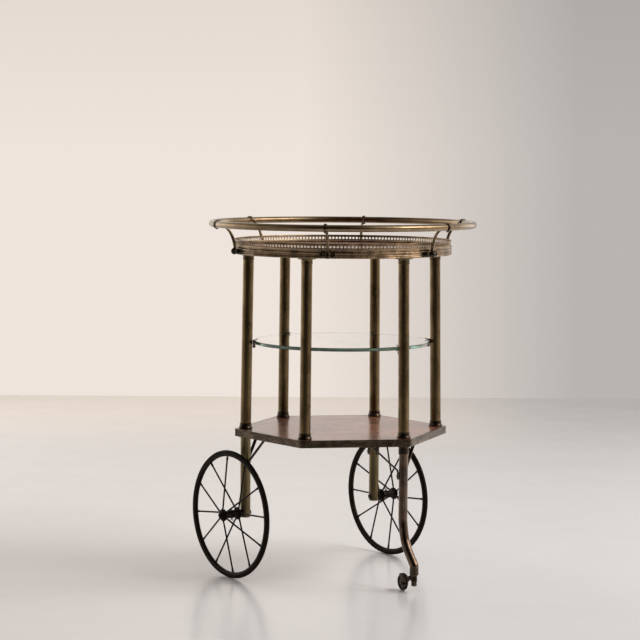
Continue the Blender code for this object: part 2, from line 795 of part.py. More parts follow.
def build_front_leg():
    """The bent tube of the front leg, its grooved collar and the socket for the caster's pin."""
    top = DECK_UNDERSIDE - TOUCH_GAP
    low = SOCKET_TOP + TOUCH_GAP
    tube = swept("leg_tube", [front_leg_run(top, low)], FRONT_LEG_RADIUS, TUBE_RESOLUTION)
    run = front_leg_run(top + CUT_OVERRUN, low - CUT_OVERRUN)
    bore_radius = FRONT_LEG_RADIUS - FRONT_LEG_WALL
    core = swept("front_leg_core", [run], bore_radius, TUBE_RESOLUTION, CUTTERS)
    bore = add_object("front_leg_bore", finished_mesh(core, "front_leg_bore"), collection=CUTTERS)
    leg = add_object("leg_front", smooth(give(finished_mesh(tube, "leg_front"), brass_tube())))
    cut(leg, bore)

    inner = (FRONT_LEG_RADIUS + TOUCH_GAP) / math.cos(math.pi / TUBE_STEPS)
    outer = inner + FRONT_COLLAR_WALL
    groove = outer - FRONT_COLLAR_GROOVE
    head = top - FRONT_COLLAR_DROP
    third = FRONT_COLLAR_HEIGHT / 3
    collar = [
        (outer, head),
        (outer, head - third),
        (groove, head - third),
        (groove, head - 2 * third),
        (outer, head - 2 * third),
        (outer, head - 3 * third),
        (inner, head - 3 * third),
        (inner, head),
    ]
    ferrule = turned("leg_collar_front", collar, cast_brass())
    ferrule.location.y = -COLUMN_CIRCLE_RADIUS

    pin_bore = PIN_RADIUS + TOUCH_GAP
    socket = [
        (SOCKET_RADIUS, SOCKET_TOP),
        (SOCKET_RADIUS, SOCKET_BOTTOM),
        (pin_bore, SOCKET_BOTTOM),
        (pin_bore, SOCKET_TOP),
    ]
    holder = turned("caster_socket", socket, cast_brass())
    holder.location.y = -PIN_CIRCLE_RADIUS


def brace_mesh(leg_radius):
    """A strap that runs up the leg, out to the deck and flat along its underside."""
    half = BRACE_THICKNESS / 2
    tab = leg_radius + TOUCH_GAP + half
    low = DECK_UNDERSIDE - BRACE_TAB_DROP
    high = DECK_UNDERSIDE - TOUCH_GAP - half
    path = [
        (tab, low),
        (tab, low + BRACE_TAB_HEIGHT),
        (tab + BRACE_RUN, high),
        (tab + BRACE_RUN + BRACE_FOOT, high),
    ]
    strap = plate("brace", strap_outline(path, [BRACE_THICKNESS] * len(path)), BRACE_WIDTH)
    return finished_mesh(strap, "leg_brace")


def build_braces():
    """Two straps for each leg."""
    for place, turns in BRACE_TURNS.items():
        radius = FRONT_LEG_RADIUS if place == "front" else LEG_RADIUS
        mesh = give(brace_mesh(radius), dark_brass())
        foot = turn_about_z(CORNERS[place]) @ Vector((COLUMN_CIRCLE_RADIUS, 0, 0))
        for letter, degrees in zip("ab", turns):
            brace = add_object(f"leg_brace_{place}_{letter}", mesh)
            brace.location = foot
            brace.rotation_euler.z = math.radians(degrees)


def axle_profile():
    """A bolt from the leg's inner side outwards: head, shank, shoulder, shank and threaded end."""
    shoulder_out = -HUB_HALF_LENGTH - RUNNING_GAP
    shoulder_in = shoulder_out - AXLE_SHOULDER_LENGTH
    leg_in = shoulder_in - 2 * TOUCH_GAP - 2 * LEG_RADIUS
    end = HUB_HALF_LENGTH + RUNNING_GAP + AXLE_TAIL
    return [
        (0, end),
        (AXLE_RADIUS, end),
        (AXLE_RADIUS, shoulder_out),
        (AXLE_SHOULDER_RADIUS, shoulder_out),
        (AXLE_SHOULDER_RADIUS, shoulder_in),
        (AXLE_RADIUS, shoulder_in),
        (AXLE_RADIUS, leg_in),
        (AXLE_HEAD_RADIUS, leg_in),
        (AXLE_HEAD_RADIUS, leg_in - AXLE_HEAD_LENGTH),
        (0, leg_in - AXLE_HEAD_LENGTH),
    ]


def nut_profile():
    """A cap nut over the axle's end."""
    low = HUB_HALF_LENGTH + RUNNING_GAP
    top = low + NUT_LENGTH
    bore = AXLE_RADIUS + TOUCH_GAP
    depth = low + AXLE_TAIL + TOUCH_GAP
    return [
        (0, top),
        (NUT_RADIUS / 2, top - NUT_CROWN),
        (NUT_RADIUS, top - NUT_DOME),
        (NUT_RADIUS, low),
        (bore, low),
        (bore, depth),
        (0, depth),
    ]


def hub_profile():
    """A barrel with two flanges and a bore for the axle."""
    end = HUB_HALF_LENGTH
    outer = HUB_FLANGE_PLACE + HUB_FLANGE_THICKNESS / 2
    inner = HUB_FLANGE_PLACE - HUB_FLANGE_THICKNESS / 2
    return [
        (HUB_RADIUS, end),
        (HUB_RADIUS, outer),
        (HUB_FLANGE_RADIUS, outer),
        (HUB_FLANGE_RADIUS, inner),
        (HUB_RADIUS, inner),
        (HUB_RADIUS, -inner),
        (HUB_FLANGE_RADIUS, -inner),
        (HUB_FLANGE_RADIUS, -outer),
        (HUB_RADIUS, -outer),
        (HUB_RADIUS, -end),
        (AXLE_BORE_RADIUS, -end),
        (AXLE_BORE_RADIUS, end),
    ]


def spoke_runs(first_turn):
    """Spokes from the two flanges in turn to the middle of the rim."""
    start = (HUB_RADIUS + HUB_FLANGE_RADIUS) / 2
    end = RIM_INNER_RADIUS - TOUCH_GAP
    runs = []
    for index in range(SPOKE_COUNT):
        out = turn_about_z(first_turn + index * 360 / SPOKE_COUNT) @ Vector((1, 0, 0))
        flange = HUB_FLANGE_PLACE if index % 2 else -HUB_FLANGE_PLACE
        runs.append([out * start + Vector((0, 0, flange)), out * end])
    return runs


def build_wheel(side, sign):
    """One wheel on its axle: tyre, rim, hub with spokes, axle and cap nut."""
    centre = (sign * WHEEL_PLANE, LEG_Y, WHEEL_RADIUS)
    axis = add_empty(f"{side}_wheel_axis", centre, (0, sign * 90, 0))
    inner = WHEEL_RADIUS - TYRE_DEPTH
    half = TYRE_WIDTH / 2
    tyre = [
        (inner, half),
        (inner + TYRE_DEPTH / 2, half),
        (WHEEL_RADIUS - TREAD_DROP, half / 2),
        (WHEEL_RADIUS, 0),
        (WHEEL_RADIUS - TREAD_DROP, -half / 2),
        (inner + TYRE_DEPTH / 2, -half),
        (inner, -half),
    ]
    rim_outer = inner - TOUCH_GAP
    half = RIM_WIDTH / 2
    rim = [
        (rim_outer, half),
        (rim_outer, -half),
        (RIM_INNER_RADIUS + RIM_CROWN, -half),
        (RIM_INNER_RADIUS, 0),
        (RIM_INNER_RADIUS + RIM_CROWN, half),
    ]
    runs = spoke_runs(SPOKE_TURNS[side])
    wires = swept("spoke_wires", runs, SPOKE_RADIUS, WIRE_RESOLUTION, CUTTERS)
    spokes = add_object("spokes", finished_mesh(wires, "spokes"), collection=CUTTERS)
    hub = turned(f"hub_{side}", hub_profile(), black_enamel())
    hub_mesh = smooth(give(merge(hub, [spokes], "UNION", f"hub_{side}"), black_enamel()))
    pieces = [
        turned(f"tyre_{side}", tyre, tyre_rubber(), RING_STEPS),
        turned(f"rim_{side}", rim, black_enamel(), RING_STEPS),
        add_object(f"hub_and_spokes_{side}", hub_mesh),
        turned(f"axle_{side}", axle_profile(), black_enamel(), closed=False),
        turned(f"axle_nut_{side}", nut_profile(), black_enamel(), closed=False),
    ]
    for piece in pieces:
        piece.parent = axis


def horn_mesh(wheel):
    """The caster's horn: an eye round the pin, an arm, and a fork that arches over the wheel."""
    crown = CASTER_WHEEL_RADIUS + CROWN_GAP + CROWN_THICKNESS
    slot_half = CASTER_WHEEL_WIDTH / 2 + RUNNING_GAP
    middle = (wheel.x, wheel.z)
    outline = arc(middle, CHEEK_FOOT_RADIUS, CHEEK_FOOT_START, CHEEK_FOOT_END, CROWN_STEPS)
    outline += arc(middle, crown, CROWN_START, CROWN_END, CROWN_STEPS)
    fork = plate("fork", outline, 2 * (slot_half + CHEEK_THICKNESS))
    fork.data.transform(Matrix.Translation((0, wheel.y, 0)))
    eye = rod("eye", EYE_RADIUS, (0, 0, EYE_BOTTOM), (0, 0, EYE_TOP), TUBE_STEPS)
    arm_height = EYE_TOP - HORN_ARM_RADIUS - TOUCH_GAP
    lean = math.radians(HORN_ARM_ANGLE)
    run = [
        (0, 0, arm_height),
        (wheel.x / 4, wheel.y / 2, arm_height),
        (wheel.x + crown * math.cos(lean), wheel.y, wheel.z + crown * math.sin(lean)),
    ]
    bar = swept("arm_bar", [run], HORN_ARM_RADIUS, TUBE_RESOLUTION, CUTTERS)
    arm = add_object("arm", finished_mesh(bar, "arm"), collection=CUTTERS)
    body = add_object("horn", merge(fork, [eye, arm], "UNION", "horn"))
    wheel_slot = rod(
        "wheel_slot",
        CASTER_WHEEL_RADIUS + CROWN_GAP,
        (wheel.x, wheel.y - slot_half, wheel.z),
        (wheel.x, wheel.y + slot_half, wheel.z),
        CASTER_WHEEL_STEPS,
    )
    pin_hole = rod(
        "pin_hole",
        PIN_RADIUS + RUNNING_GAP,
        (0, 0, EYE_BOTTOM - CUT_OVERRUN),
        (0, 0, EYE_TOP + CUT_OVERRUN),
        TUBE_STEPS,
    )
    reach = slot_half + CHEEK_THICKNESS + CUT_OVERRUN
    axle_hole = rod(
        "axle_hole",
        CASTER_AXLE_RADIUS + TOUCH_GAP,
        (wheel.x, wheel.y - reach, wheel.z),
        (wheel.x, wheel.y + reach, wheel.z),
        SMALL_STEPS,
    )
    return merge(body, [wheel_slot, pin_hole, axle_hole], "DIFFERENCE", "caster_horn")


def caster_wheel_profile():
    """A disc wheel: tread, web and hub, with its bore."""
    half = CASTER_WHEEL_WIDTH / 2
    web = CASTER_WEB / 2
    tread = CASTER_WHEEL_RADIUS - CASTER_TREAD
    bore = CASTER_AXLE_RADIUS + RUNNING_GAP
    upper = [
        (bore, half),
        (CASTER_HUB_RADIUS, half),
        (CASTER_HUB_RADIUS, web),
        (tread, web),
        (tread, half),
        (CASTER_WHEEL_RADIUS - CASTER_CHAMFER, half),
        (CASTER_WHEEL_RADIUS, half - CASTER_CHAMFER),
    ]
    lower = [(radius, -height) for radius, height in reversed(upper)]
    return upper + lower


def build_caster():
    """The pin in the front leg, and the horn, wheel and axle that turn on it."""
    pin_top = SOCKET_TOP - TOUCH_GAP
    head_top = EYE_BOTTOM - RUNNING_GAP
    head_low = head_top - PIN_HEAD_HEIGHT
    pin = [
        (0, pin_top),
        (PIN_RADIUS, pin_top),
        (PIN_RADIUS, head_top),
        (PIN_HEAD_RADIUS, head_top),
        (PIN_HEAD_RADIUS, head_low),
        (0, head_low),
    ]
    swivel = add_empty("caster_swivel_axis", (0, -PIN_CIRCLE_RADIUS, 0), (0, 0, CASTER_TURN))
    pin_piece = turned("caster_pin", pin, dark_brass(), closed=False)
    wheel_at = Vector((CASTER_TRAIL, CASTER_OFFSET, CASTER_WHEEL_RADIUS))
    horn = add_object("caster_horn", smooth(give(horn_mesh(wheel_at), dark_brass())))
    axis = add_empty("caster_wheel_axis", wheel_at, (-90, 0, 0))
    wheel = turned("caster_wheel", caster_wheel_profile(), black_enamel(), CASTER_WHEEL_STEPS)
    hole_circle = (CASTER_HUB_RADIUS + CASTER_WHEEL_RADIUS - CASTER_TREAD) / 2
    for index in range(CASTER_HOLE_COUNT):
        at = turn_about_z(index * 360 / CASTER_HOLE_COUNT) @ Vector((hole_circle, 0, 0))
        hole = rod(
            f"caster_wheel_hole_{index + 1}",
            CASTER_HOLE_RADIUS,
            at - Vector((0, 0, CUT_OVERRUN)),
            at + Vector((0, 0, CUT_OVERRUN)),
            SMALL_STEPS,
        )
        hole.parent = axis
        cut(wheel, hole)
    cheek_out = CASTER_WHEEL_WIDTH / 2 + RUNNING_GAP + CHEEK_THICKNESS + TOUCH_GAP
    axle = [
        (0, cheek_out + CASTER_AXLE_HEAD),
        (CASTER_AXLE_HEAD_RADIUS, cheek_out + CASTER_AXLE_HEAD),
        (CASTER_AXLE_HEAD_RADIUS, cheek_out),
        (CASTER_AXLE_RADIUS, cheek_out),
        (CASTER_AXLE_RADIUS, -cheek_out),
        (CASTER_AXLE_HEAD_RADIUS, -cheek_out),
        (CASTER_AXLE_HEAD_RADIUS, -cheek_out - CASTER_AXLE_HEAD),
        (0, -cheek_out - CASTER_AXLE_HEAD),
    ]
    axle_piece = turned("caster_axle", axle, dark_brass(), SMALL_STEPS, closed=False)
    for piece in (pin_piece, horn, axis):
        piece.parent = swivel
    for piece in (wheel, axle_piece):
        piece.parent = axis


def main():
    clear_scene()
    make_collection(COLLECTION)
    make_collection(CUTTERS)
    build_deck()
    build_columns()
    build_shelf()
    build_tray()
    build_handrail()
    build_back_legs()
    build_front_leg()
    build_braces()
    build_wheel("left", -1)
    build_wheel("right", 1)
    build_caster()


main()
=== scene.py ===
"""A round bar cart with its real finishes: aged brass, veneer, glass, enamel and rubber.

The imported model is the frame. Each operator models one piece, or a group of like pieces, round it.
Units are metres, +Z is up, X runs along the wheel axles and the caster is at -Y.
"""

import math

import bpy
from mathutils import Matrix, Vector


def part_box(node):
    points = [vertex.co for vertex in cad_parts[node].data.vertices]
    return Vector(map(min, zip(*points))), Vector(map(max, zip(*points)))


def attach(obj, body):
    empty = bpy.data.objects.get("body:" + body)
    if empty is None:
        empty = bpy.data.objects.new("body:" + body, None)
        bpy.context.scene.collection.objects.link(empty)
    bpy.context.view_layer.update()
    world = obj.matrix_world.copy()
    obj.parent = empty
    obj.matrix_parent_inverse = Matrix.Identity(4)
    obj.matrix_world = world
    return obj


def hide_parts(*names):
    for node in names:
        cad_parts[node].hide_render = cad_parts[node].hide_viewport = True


bl_info = {
    "name": "Bar cart",
    "version": (1, 0, 0),
    "blender": (4, 5, 0),
    "location": "3D View > Sidebar > Bar cart",
    "description": "Models the pieces of a round brass bar cart and its finishes",
    "category": "Object",
}

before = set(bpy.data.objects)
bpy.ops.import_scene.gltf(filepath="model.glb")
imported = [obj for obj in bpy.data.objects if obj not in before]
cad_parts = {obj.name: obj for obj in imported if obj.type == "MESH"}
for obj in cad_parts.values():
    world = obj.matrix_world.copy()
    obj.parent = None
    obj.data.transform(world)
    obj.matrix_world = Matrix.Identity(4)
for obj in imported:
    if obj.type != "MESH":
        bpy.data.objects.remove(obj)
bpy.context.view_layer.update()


def linear(text):
    """An sRGB hex colour as linear red, green, blue and alpha."""
    channels = [int(text[place : place + 2], 16) / 255 for place in (1, 3, 5)]
    return (*(c / 12.92 if c <= 0.04045 else ((c + 0.055) / 1.055) ** 2.4 for c in channels), 1.0)


# Sides of round pieces
RING_SIDES = 192
TUBE_SIDES = 40
BAR_SIDES = 20
BALL_SIDES = 24
SMALL_SIDES = 16
WIRE_SIDES = 10
# Steps round a rounded edge, and the angle past which an edge stays sharp
BEVEL_STEPS = 2
SHARP = math.radians(38)
# Points nearer than this are one, and pieces that fit together stand this far apart
WELD = 0.00001
GAP = 0.0003

# The six corners and the six brackets, in degrees from +X
CORNERS = {
    "front": -90,
    "front_right": -30,
    "back_right": 30,
    "back": 90,
    "back_left": 150,
    "front_left": 210,
}
BRACKETS = {
    "front": -78.8,
    "front_right": -18.8,
    "back_right": 41.2,
    "back": 99.0,
    "back_left": 161.2,
    "front_left": 224.0,
}

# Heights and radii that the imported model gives
DECK_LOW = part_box("deck_board")[0].z
DECK_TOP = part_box("deck_board")[1].z
BAND_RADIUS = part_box("deck_edge_band")[1].y
SHELF_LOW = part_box("glass_shelf")[0].z
SHELF_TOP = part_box("glass_shelf")[1].z
SHELF_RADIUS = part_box("glass_shelf")[1].x
TRAY_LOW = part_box("tray_ring")[0].z
TRAY_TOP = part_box("tray_ring")[1].z
TRAY_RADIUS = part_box("tray_ring")[1].x
TRAY_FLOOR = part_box("tray_board")[1].z
RAIL_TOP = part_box("handrail")[1].z
RAIL_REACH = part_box("handrail")[1].x

# A hexagon's apothem as a share of its radius
APOTHEM = math.cos(math.radians(30))

# Sizes that the pieces share
COLUMN_CIRCLE = 0.2339
COLUMN_LEAN = 0.0057
COLUMN_RISE = TRAY_LOW - DECK_TOP
COLUMN_ANGLE = math.atan2(COLUMN_LEAN, COLUMN_RISE)
COLUMN_RADIUS = 0.0130
RAIL_RADIUS = 0.0080
RAIL_CIRCLE = RAIL_REACH - RAIL_RADIUS
RAIL_HEIGHT = RAIL_TOP - RAIL_RADIUS
LEG_RADIUS = 0.01225
FRONT_LEG_RADIUS = 0.01075
LEG_X = COLUMN_CIRCLE * APOTHEM
LEG_Y = COLUMN_CIRCLE / 2
WHEEL_RADIUS = 0.1550
WHEEL_PLANE = 0.24761
HUB_HALF = 0.0280
SPOKES = 12
PIN_CIRCLE = 0.2759
CASTER_TURN = 83
CASTER_TRAIL = 0.0335
CASTER_OFFSET = 0.0092
CASTER_WHEEL = 0.0195
CASTER_HALF = 0.0031
CASTER_CENTRE = Matrix.Translation((CASTER_TRAIL, CASTER_OFFSET, CASTER_WHEEL))
CHEEK_INSIDE = CASTER_HALF + 0.0005
CHEEK_OUTSIDE = CHEEK_INSIDE + 0.0018
VENEER_SHEETS = 6


# ---- Modelling by hand: what each step of it needs


def deselect():
    """Object mode with nothing selected."""
    if bpy.context.mode != "OBJECT":
        bpy.ops.object.mode_set(mode="OBJECT")
    bpy.ops.object.select_all(action="DESELECT")


def pick(*pieces):
    """Selects these pieces alone, the first one active."""
    deselect()
    for piece in pieces:
        piece.select_set(True)
    bpy.context.view_layer.objects.active = pieces[0]


def turn_about(axis, degrees):
    """A turn about one of the cart's own axes."""
    return Matrix.Rotation(math.radians(degrees), 4, axis)


def turn_z(degrees):
    """A turn about the cart's upright axis."""
    return turn_about("Z", degrees)


def moved(x, y, z):
    """A move along the cart's own axes."""
    return Matrix.Translation((x, y, z))


def settle(piece, place):
    """Puts a piece at its place and bakes that place into its mesh."""
    pick(piece)
    piece.matrix_world = place @ piece.matrix_world
    bpy.ops.object.transform_apply(location=True, rotation=True, scale=True)
    return piece


def added(name, scale=(1, 1, 1)):
    """The primitive that was just added, named and scaled, with its place in its mesh."""
    piece = bpy.context.object
    piece.name = piece.data.name = name
    piece.scale = scale
    bpy.ops.object.transform_apply(location=True, rotation=True, scale=True)
    return piece


def block(name, centre, size):
    """A box of this size round its centre."""
    deselect()
    bpy.ops.mesh.primitive_cube_add(size=1, location=centre)
    return added(name, size)


def edit(mode="VERT"):
    """Edit mode with the selection as it was set on the mesh."""
    bpy.context.tool_settings.mesh_select_mode = [mode == kind for kind in ("VERT", "EDGE", "FACE")]
    bpy.ops.object.mode_set(mode="EDIT")


def edit_all(mode="VERT"):
    """Edit mode with the whole mesh selected."""
    edit(mode)
    bpy.ops.mesh.select_all(action="SELECT")


def select_parts(piece, parts, mode, wanted):
    """Edit mode with only those points or faces selected that pass the test."""
    bpy.ops.object.mode_set(mode="OBJECT")
    mesh = piece.data
    for part in (*mesh.vertices, *mesh.edges, *mesh.polygons):
        part.select = False
    for part in getattr(mesh, parts):
        part.select = wanted(part)
    edit(mode)


def select_points(piece, wanted):
    """Edit mode with the points whose place passes the test selected."""
    select_parts(piece, "vertices", "VERT", lambda point: wanted(point.co))


def select_faces(piece, wanted):
    """Edit mode with the faces whose centre and normal pass the test selected."""
    select_parts(piece, "polygons", "FACE", lambda face: wanted(face.center, face.normal))


def close_up(piece):
    """Merges doubles, turns the faces outward and leaves edit mode."""
    if bpy.context.mode == "OBJECT":
        pick(piece)
        edit()
    bpy.ops.mesh.select_all(action="SELECT")
    bpy.ops.mesh.remove_doubles(threshold=WELD)
    bpy.ops.mesh.normals_make_consistent(inside=False)
    bpy.ops.object.mode_set(mode="OBJECT")
    return piece


def profile(radius, height, *steps):
    """Points (radius, height) of an outline, from steps in millimetres off one of its corners."""
    return [(radius + across / 1000, height + up / 1000) for across, up in steps]


def both_ways(half, *middle):
    """An outline that is the same on both sides of its middle, from one half of it."""
    return [*half, *middle, *((radius, -height) for radius, height in reversed(half))]


def extrude_ring(rise, share, height):
    """Extrudes the selected ring up or down and resizes it about the axis."""
    bpy.ops.mesh.extrude_region_move(TRANSFORM_OT_translate={"value": (0, 0, rise)})
    bpy.ops.transform.resize(value=(share, share, 1), center_override=(0, 0, height))


def cap_ring(height, apex):
    """Closes the selected ring: flat, or drawn to a point on the axis."""
    if abs(apex - height) < WELD:
        bpy.ops.mesh.edge_face_add()
    else:
        extrude_ring(apex - height, 0, apex)


def follow(piece, outline):
    """Extrudes a piece's one ring down an outline of (radius, height) points and closes its ends.

    The outline starts and ends on the axis, or it goes round and the last ring meets the first.
    """
    rings = [point for point in outline if point[0] > 0]
    first = radius, height = rings[0]
    bored = outline[-1][0] > 0
    edit_all()
    for next_radius, next_height in rings[1:] + (rings[:1] if bored else []):
        extrude_ring(next_height - height, next_radius / radius, next_height)
        radius, height = next_radius, next_height
    if not bored:
        cap_ring(height, outline[-1][1])
        select_points(
            piece,
            lambda co: abs(co.z - first[1]) < WELD and abs(co.xy.length - first[0]) < WELD,
        )
        cap_ring(first[1], outline[0][1])
    return close_up(piece)


def turned(name, outline, sides=TUBE_SIDES):
    """A turned piece, made from one ring that is extruded down its outline."""
    radius, height = next(point for point in outline if point[0] > 0)
    deselect()
    bpy.ops.mesh.primitive_circle_add(vertices=sides, radius=radius, location=(0, 0, height))
    return follow(added(name), outline)


def soften(piece, width, angle=SHARP):
    """Rounds the edges that are sharper than the angle."""
    pick(piece)
    bevel = piece.modifiers.new("rounded edges", "BEVEL")
    bevel.width = width
    bevel.segments = BEVEL_STEPS
    bevel.limit_method = "ANGLE"
    bevel.angle_limit = angle
    bpy.ops.object.modifier_apply(modifier=bevel.name)
    return piece


def cut_out(piece, tool, **settings):
    """Cuts the tool's shape out of a piece and removes the tool."""
    pick(piece)
    cut = piece.modifiers.new("cut", "BOOLEAN")
    cut.operation = "DIFFERENCE"
    cut.object = tool
    for name, value in settings.items():
        setattr(cut, name, value)
    bpy.ops.object.modifier_apply(modifier=cut.name)
    scrap(tool)


def smooth_path(points, steps):
    """Points on a smooth curve through the given (x, z) points."""
    ends = [points[0], *points, points[-1]]
    path = []
    for index in range(1, len(ends) - 2):
        a, b, c, d = (Vector(point) for point in ends[index - 1 : index + 3])
        for step in range(steps):
            t = step / steps
            path.append(
                ((2 * b) + (c - a) * t + (2 * a - 5 * b + 4 * c - d) * t**2
                 + (3 * b - a - 3 * c + d) * t**3) / 2
            )
    return [tuple(point) for point in path] + [points[-1]]


def arc(centre, radius, start, end, steps):
    """Points (x, z) on an arc, its angles in degrees."""
    angles = [math.radians(start + (end - start) * step / steps) for step in range(steps + 1)]
    return [(centre[0] + radius * math.cos(a), centre[1] + radius * math.sin(a)) for a in angles]


def swept(name, path, thickness, width, sides=BAR_SIDES, shares=None):
    """A bar swept along (x, z) points: a round or square section is extruded from point to point.

    With no window, transform.rotate turns against the right-hand rule, so its angle is negated.
    """
    leans = []
    for index in range(len(path)):
        before = path[max(index - 1, 0)]
        after = path[min(index + 1, len(path) - 1)]
        leans.append(math.atan2(after[0] - before[0], after[1] - before[1]))
    shares = shares or [1.0] * len(path)
    (x, z), lean, share = path[0], leans[0], shares[0]
    deselect()
    place = {"location": (x, 0, z), "rotation": (0, lean, 0)}
    if sides == 4:
        bpy.ops.mesh.primitive_plane_add(size=1, **place)
    else:
        bpy.ops.mesh.primitive_circle_add(vertices=sides, radius=0.5, fill_type="NGON", **place)
    piece = added(name, (thickness * share, width * share, 1))
    edit_all("FACE")
    for (next_x, next_z), next_lean, next_share in zip(path[1:], leans[1:], shares[1:]):
        move = (next_x - x, 0, next_z - z)
        bpy.ops.mesh.extrude_region_move(TRANSFORM_OT_translate={"value": move})
        turn = (next_lean - lean + math.pi) % math.tau - math.pi
        centre = (next_x, 0, next_z)
        bpy.ops.transform.rotate(
            value=-turn, orient_axis="Y", orient_type="GLOBAL", center_override=centre
        )
        size = next_share / share
        bpy.ops.transform.resize(value=(size, size, size), center_override=centre)
        x, z, lean, share = next_x, next_z, next_lean, next_share
    return close_up(piece)


def spun(name, circle, height, thickness, sides, steps=RING_SIDES):
    """A ring: a small round section, set upright on its circle, is spun about the axis."""
    deselect()
    bpy.ops.mesh.primitive_circle_add(
        vertices=sides, radius=thickness / 2, location=(circle, 0, height),
        rotation=(math.pi / 2, 0, 0),
    )
    piece = added(name)
    edit_all()
    bpy.ops.mesh.spin(steps=steps, angle=math.tau, center=(0, 0, 0), axis=(0, 0, 1))
    return close_up(piece)


def drawn(name, points):
    """A flat face in the XZ plane: a point is extruded round its outline, which is then filled."""
    deselect()
    bpy.ops.mesh.primitive_plane_add(size=0.001, location=(points[0][0], 0, points[0][1]))
    piece = added(name)
    edit_all()
    bpy.ops.mesh.merge(type="CENTER")
    for (x, z), (next_x, next_z) in zip(points, points[1:]):
        bpy.ops.mesh.extrude_region_move(
            TRANSFORM_OT_translate={"value": (next_x - x, 0, next_z - z)}
        )
    bpy.ops.mesh.select_all(action="SELECT")
    bpy.ops.mesh.edge_face_add()
    return piece


def copied(piece, name, place):
    """A copy with a mesh of its own, moved to its place."""
    pick(piece)
    bpy.ops.object.duplicate()
    twin = bpy.context.object
    twin.name = twin.data.name = name
    return settle(twin, place)


def joined(name, pieces):
    """Several pieces as one object."""
    pick(*pieces)
    bpy.ops.object.join()
    pieces[0].name = pieces[0].data.name = name
    return pieces[0]


def scrap(piece):
    """Removes a pattern that copies were taken from, or a tool that has made its cut."""
    bpy.data.objects.remove(piece, do_unlink=True)


def done(piece, body, nodes, slot, *finishes):
    """Gives a finished piece its shading, its finishes, its body and the nodes it stands for."""
    pick(piece)
    bpy.ops.object.shade_smooth_by_angle(angle=SHARP)
    weighted = piece.modifiers.new("flat faces", "WEIGHTED_NORMAL")
    weighted.keep_sharp = True
    bpy.ops.object.modifier_apply(modifier=weighted.name)
    piece.data.materials.clear()
    for finish in finishes:
        piece.data.materials.append(material(finish))
    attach(piece, body)
    if nodes:
        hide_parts(*nodes)
    return piece


# ---- Materials


def feed(tree, node, inputs):
    """Gives inputs their values, or links them to a socket or to a node's first live output."""
    for name, given in inputs.items():
        if isinstance(given, bpy.types.Node):
            given = next(socket for socket in given.outputs if socket.enabled)
        if isinstance(given, bpy.types.NodeSocket):
            tree.links.new(given, node.inputs[name])
        else:
            node.inputs[name].default_value = given


def add_node(tree, kind, inputs=None, **settings):
    """Adds a node with its settings, its socket values and its links."""
    made = tree.nodes.new(kind)
    for name, value in settings.items():
        setattr(made, name, value)
    feed(tree, made, inputs or {})
    return made


def blank(name):
    """A new material, its tree, its Principled shader and its Object coordinates."""
    material = bpy.data.materials.new(name)
    material.use_nodes = True
    tree = material.node_tree
    place = add_node(tree, "ShaderNodeTexCoord").outputs["Object"]
    return material, tree, tree.nodes["Principled BSDF"], place


def layered(tree, under, over, mask, start, end, most=1.0):
    """Lays a tone over another: not at all where the mask is at start, and most at its end."""
    share = add_node(
        tree, "ShaderNodeMapRange",
        {"Value": mask, "From Min": start, "From Max": end, "To Max": most},
        interpolation_type="SMOOTHSTEP",
    )
    return add_node(tree, "ShaderNodeMix", {0: share, 6: under, 7: over}, data_type="RGBA")


def metal(name, finish, rough, cloud, streak, relief, ringed=False, hollows=0.75, wax=0.12):
    """Patinated metal: clouds of tarnish, drawn or cast streaks, rubbed edges and fine pits. The
    rubbed edges also carry a painted highlight, and the hollows a darkening that is partly tarnish
    and partly painted shade.

    The finish names its dark, middle and light tone. Cloud is the size of a tarnish cloud, streak
    the (width, length) of a streak and relief its depth. A ringed piece has its streaks round the
    cart's axis. Old wax polish lies over it, which adds a paler gleam.
    """
    colours = bpy.context.scene.bar_cart_colours
    dark, middle, light = (
        getattr(colours, f"{finish}_{tone}") for tone in ("dark", "middle", "light")
    )
    material, tree, shader, place = blank(name)
    clouds = add_node(tree, "ShaderNodeTexNoise", {
        "Vector": place, "Scale": 1 / cloud, "Detail": 6.0, "Roughness": 0.62,
    })
    if ringed:
        stretched = round_streaks(tree, place, streak)
    else:
        stretched = add_node(tree, "ShaderNodeMapping", {
            "Vector": place, "Scale": (1 / streak[0], 1 / streak[0], 1 / streak[1]),
        })
    streaks = add_node(tree, "ShaderNodeTexNoise", {
        "Vector": stretched, "Scale": 1.0, "Detail": 4.0, "Roughness": 0.55,
    })
    # Pits of tarnish about 0.8 mm across
    pits = add_node(tree, "ShaderNodeTexNoise", {
        "Vector": place, "Scale": 1250.0, "Detail": 2.0, "Roughness": 0.5,
    })
    bent = add_node(tree, "ShaderNodeNewGeometry").outputs["Pointiness"]
    tone = layered(tree, dark, middle, clouds, 0.30, 0.70)
    tone = layered(tree, tone, light, streaks, 0.50, 0.78, 0.55)
    # Edges are rubbed bright, with a painted highlight; hollows stay dark with tarnish and with
    # painted shade
    tone = layered(tree, tone, light, bent, 0.53, 0.62, 0.7)
    tone = layered(tree, tone, dark, bent, 0.47, 0.40, hollows)
    roughness = add_node(tree, "ShaderNodeMapRange", {
        "Value": clouds, "From Min": 0.3, "From Max": 0.7, "To Min": rough[1], "To Max": rough[0],
    })
    height = add_node(tree, "ShaderNodeMath", {0: streaks, 1: pits}, operation="ADD")
    bump = add_node(
        tree, "ShaderNodeBump", {"Height": height, "Strength": 0.5, "Distance": relief},
    )
    feed(tree, shader, {
        "Base Color": tone, "Metallic": 1.0, "Roughness": roughness, "Normal": bump,
        "Coat Weight": wax, "Coat Roughness": 0.10,
    })
    return material


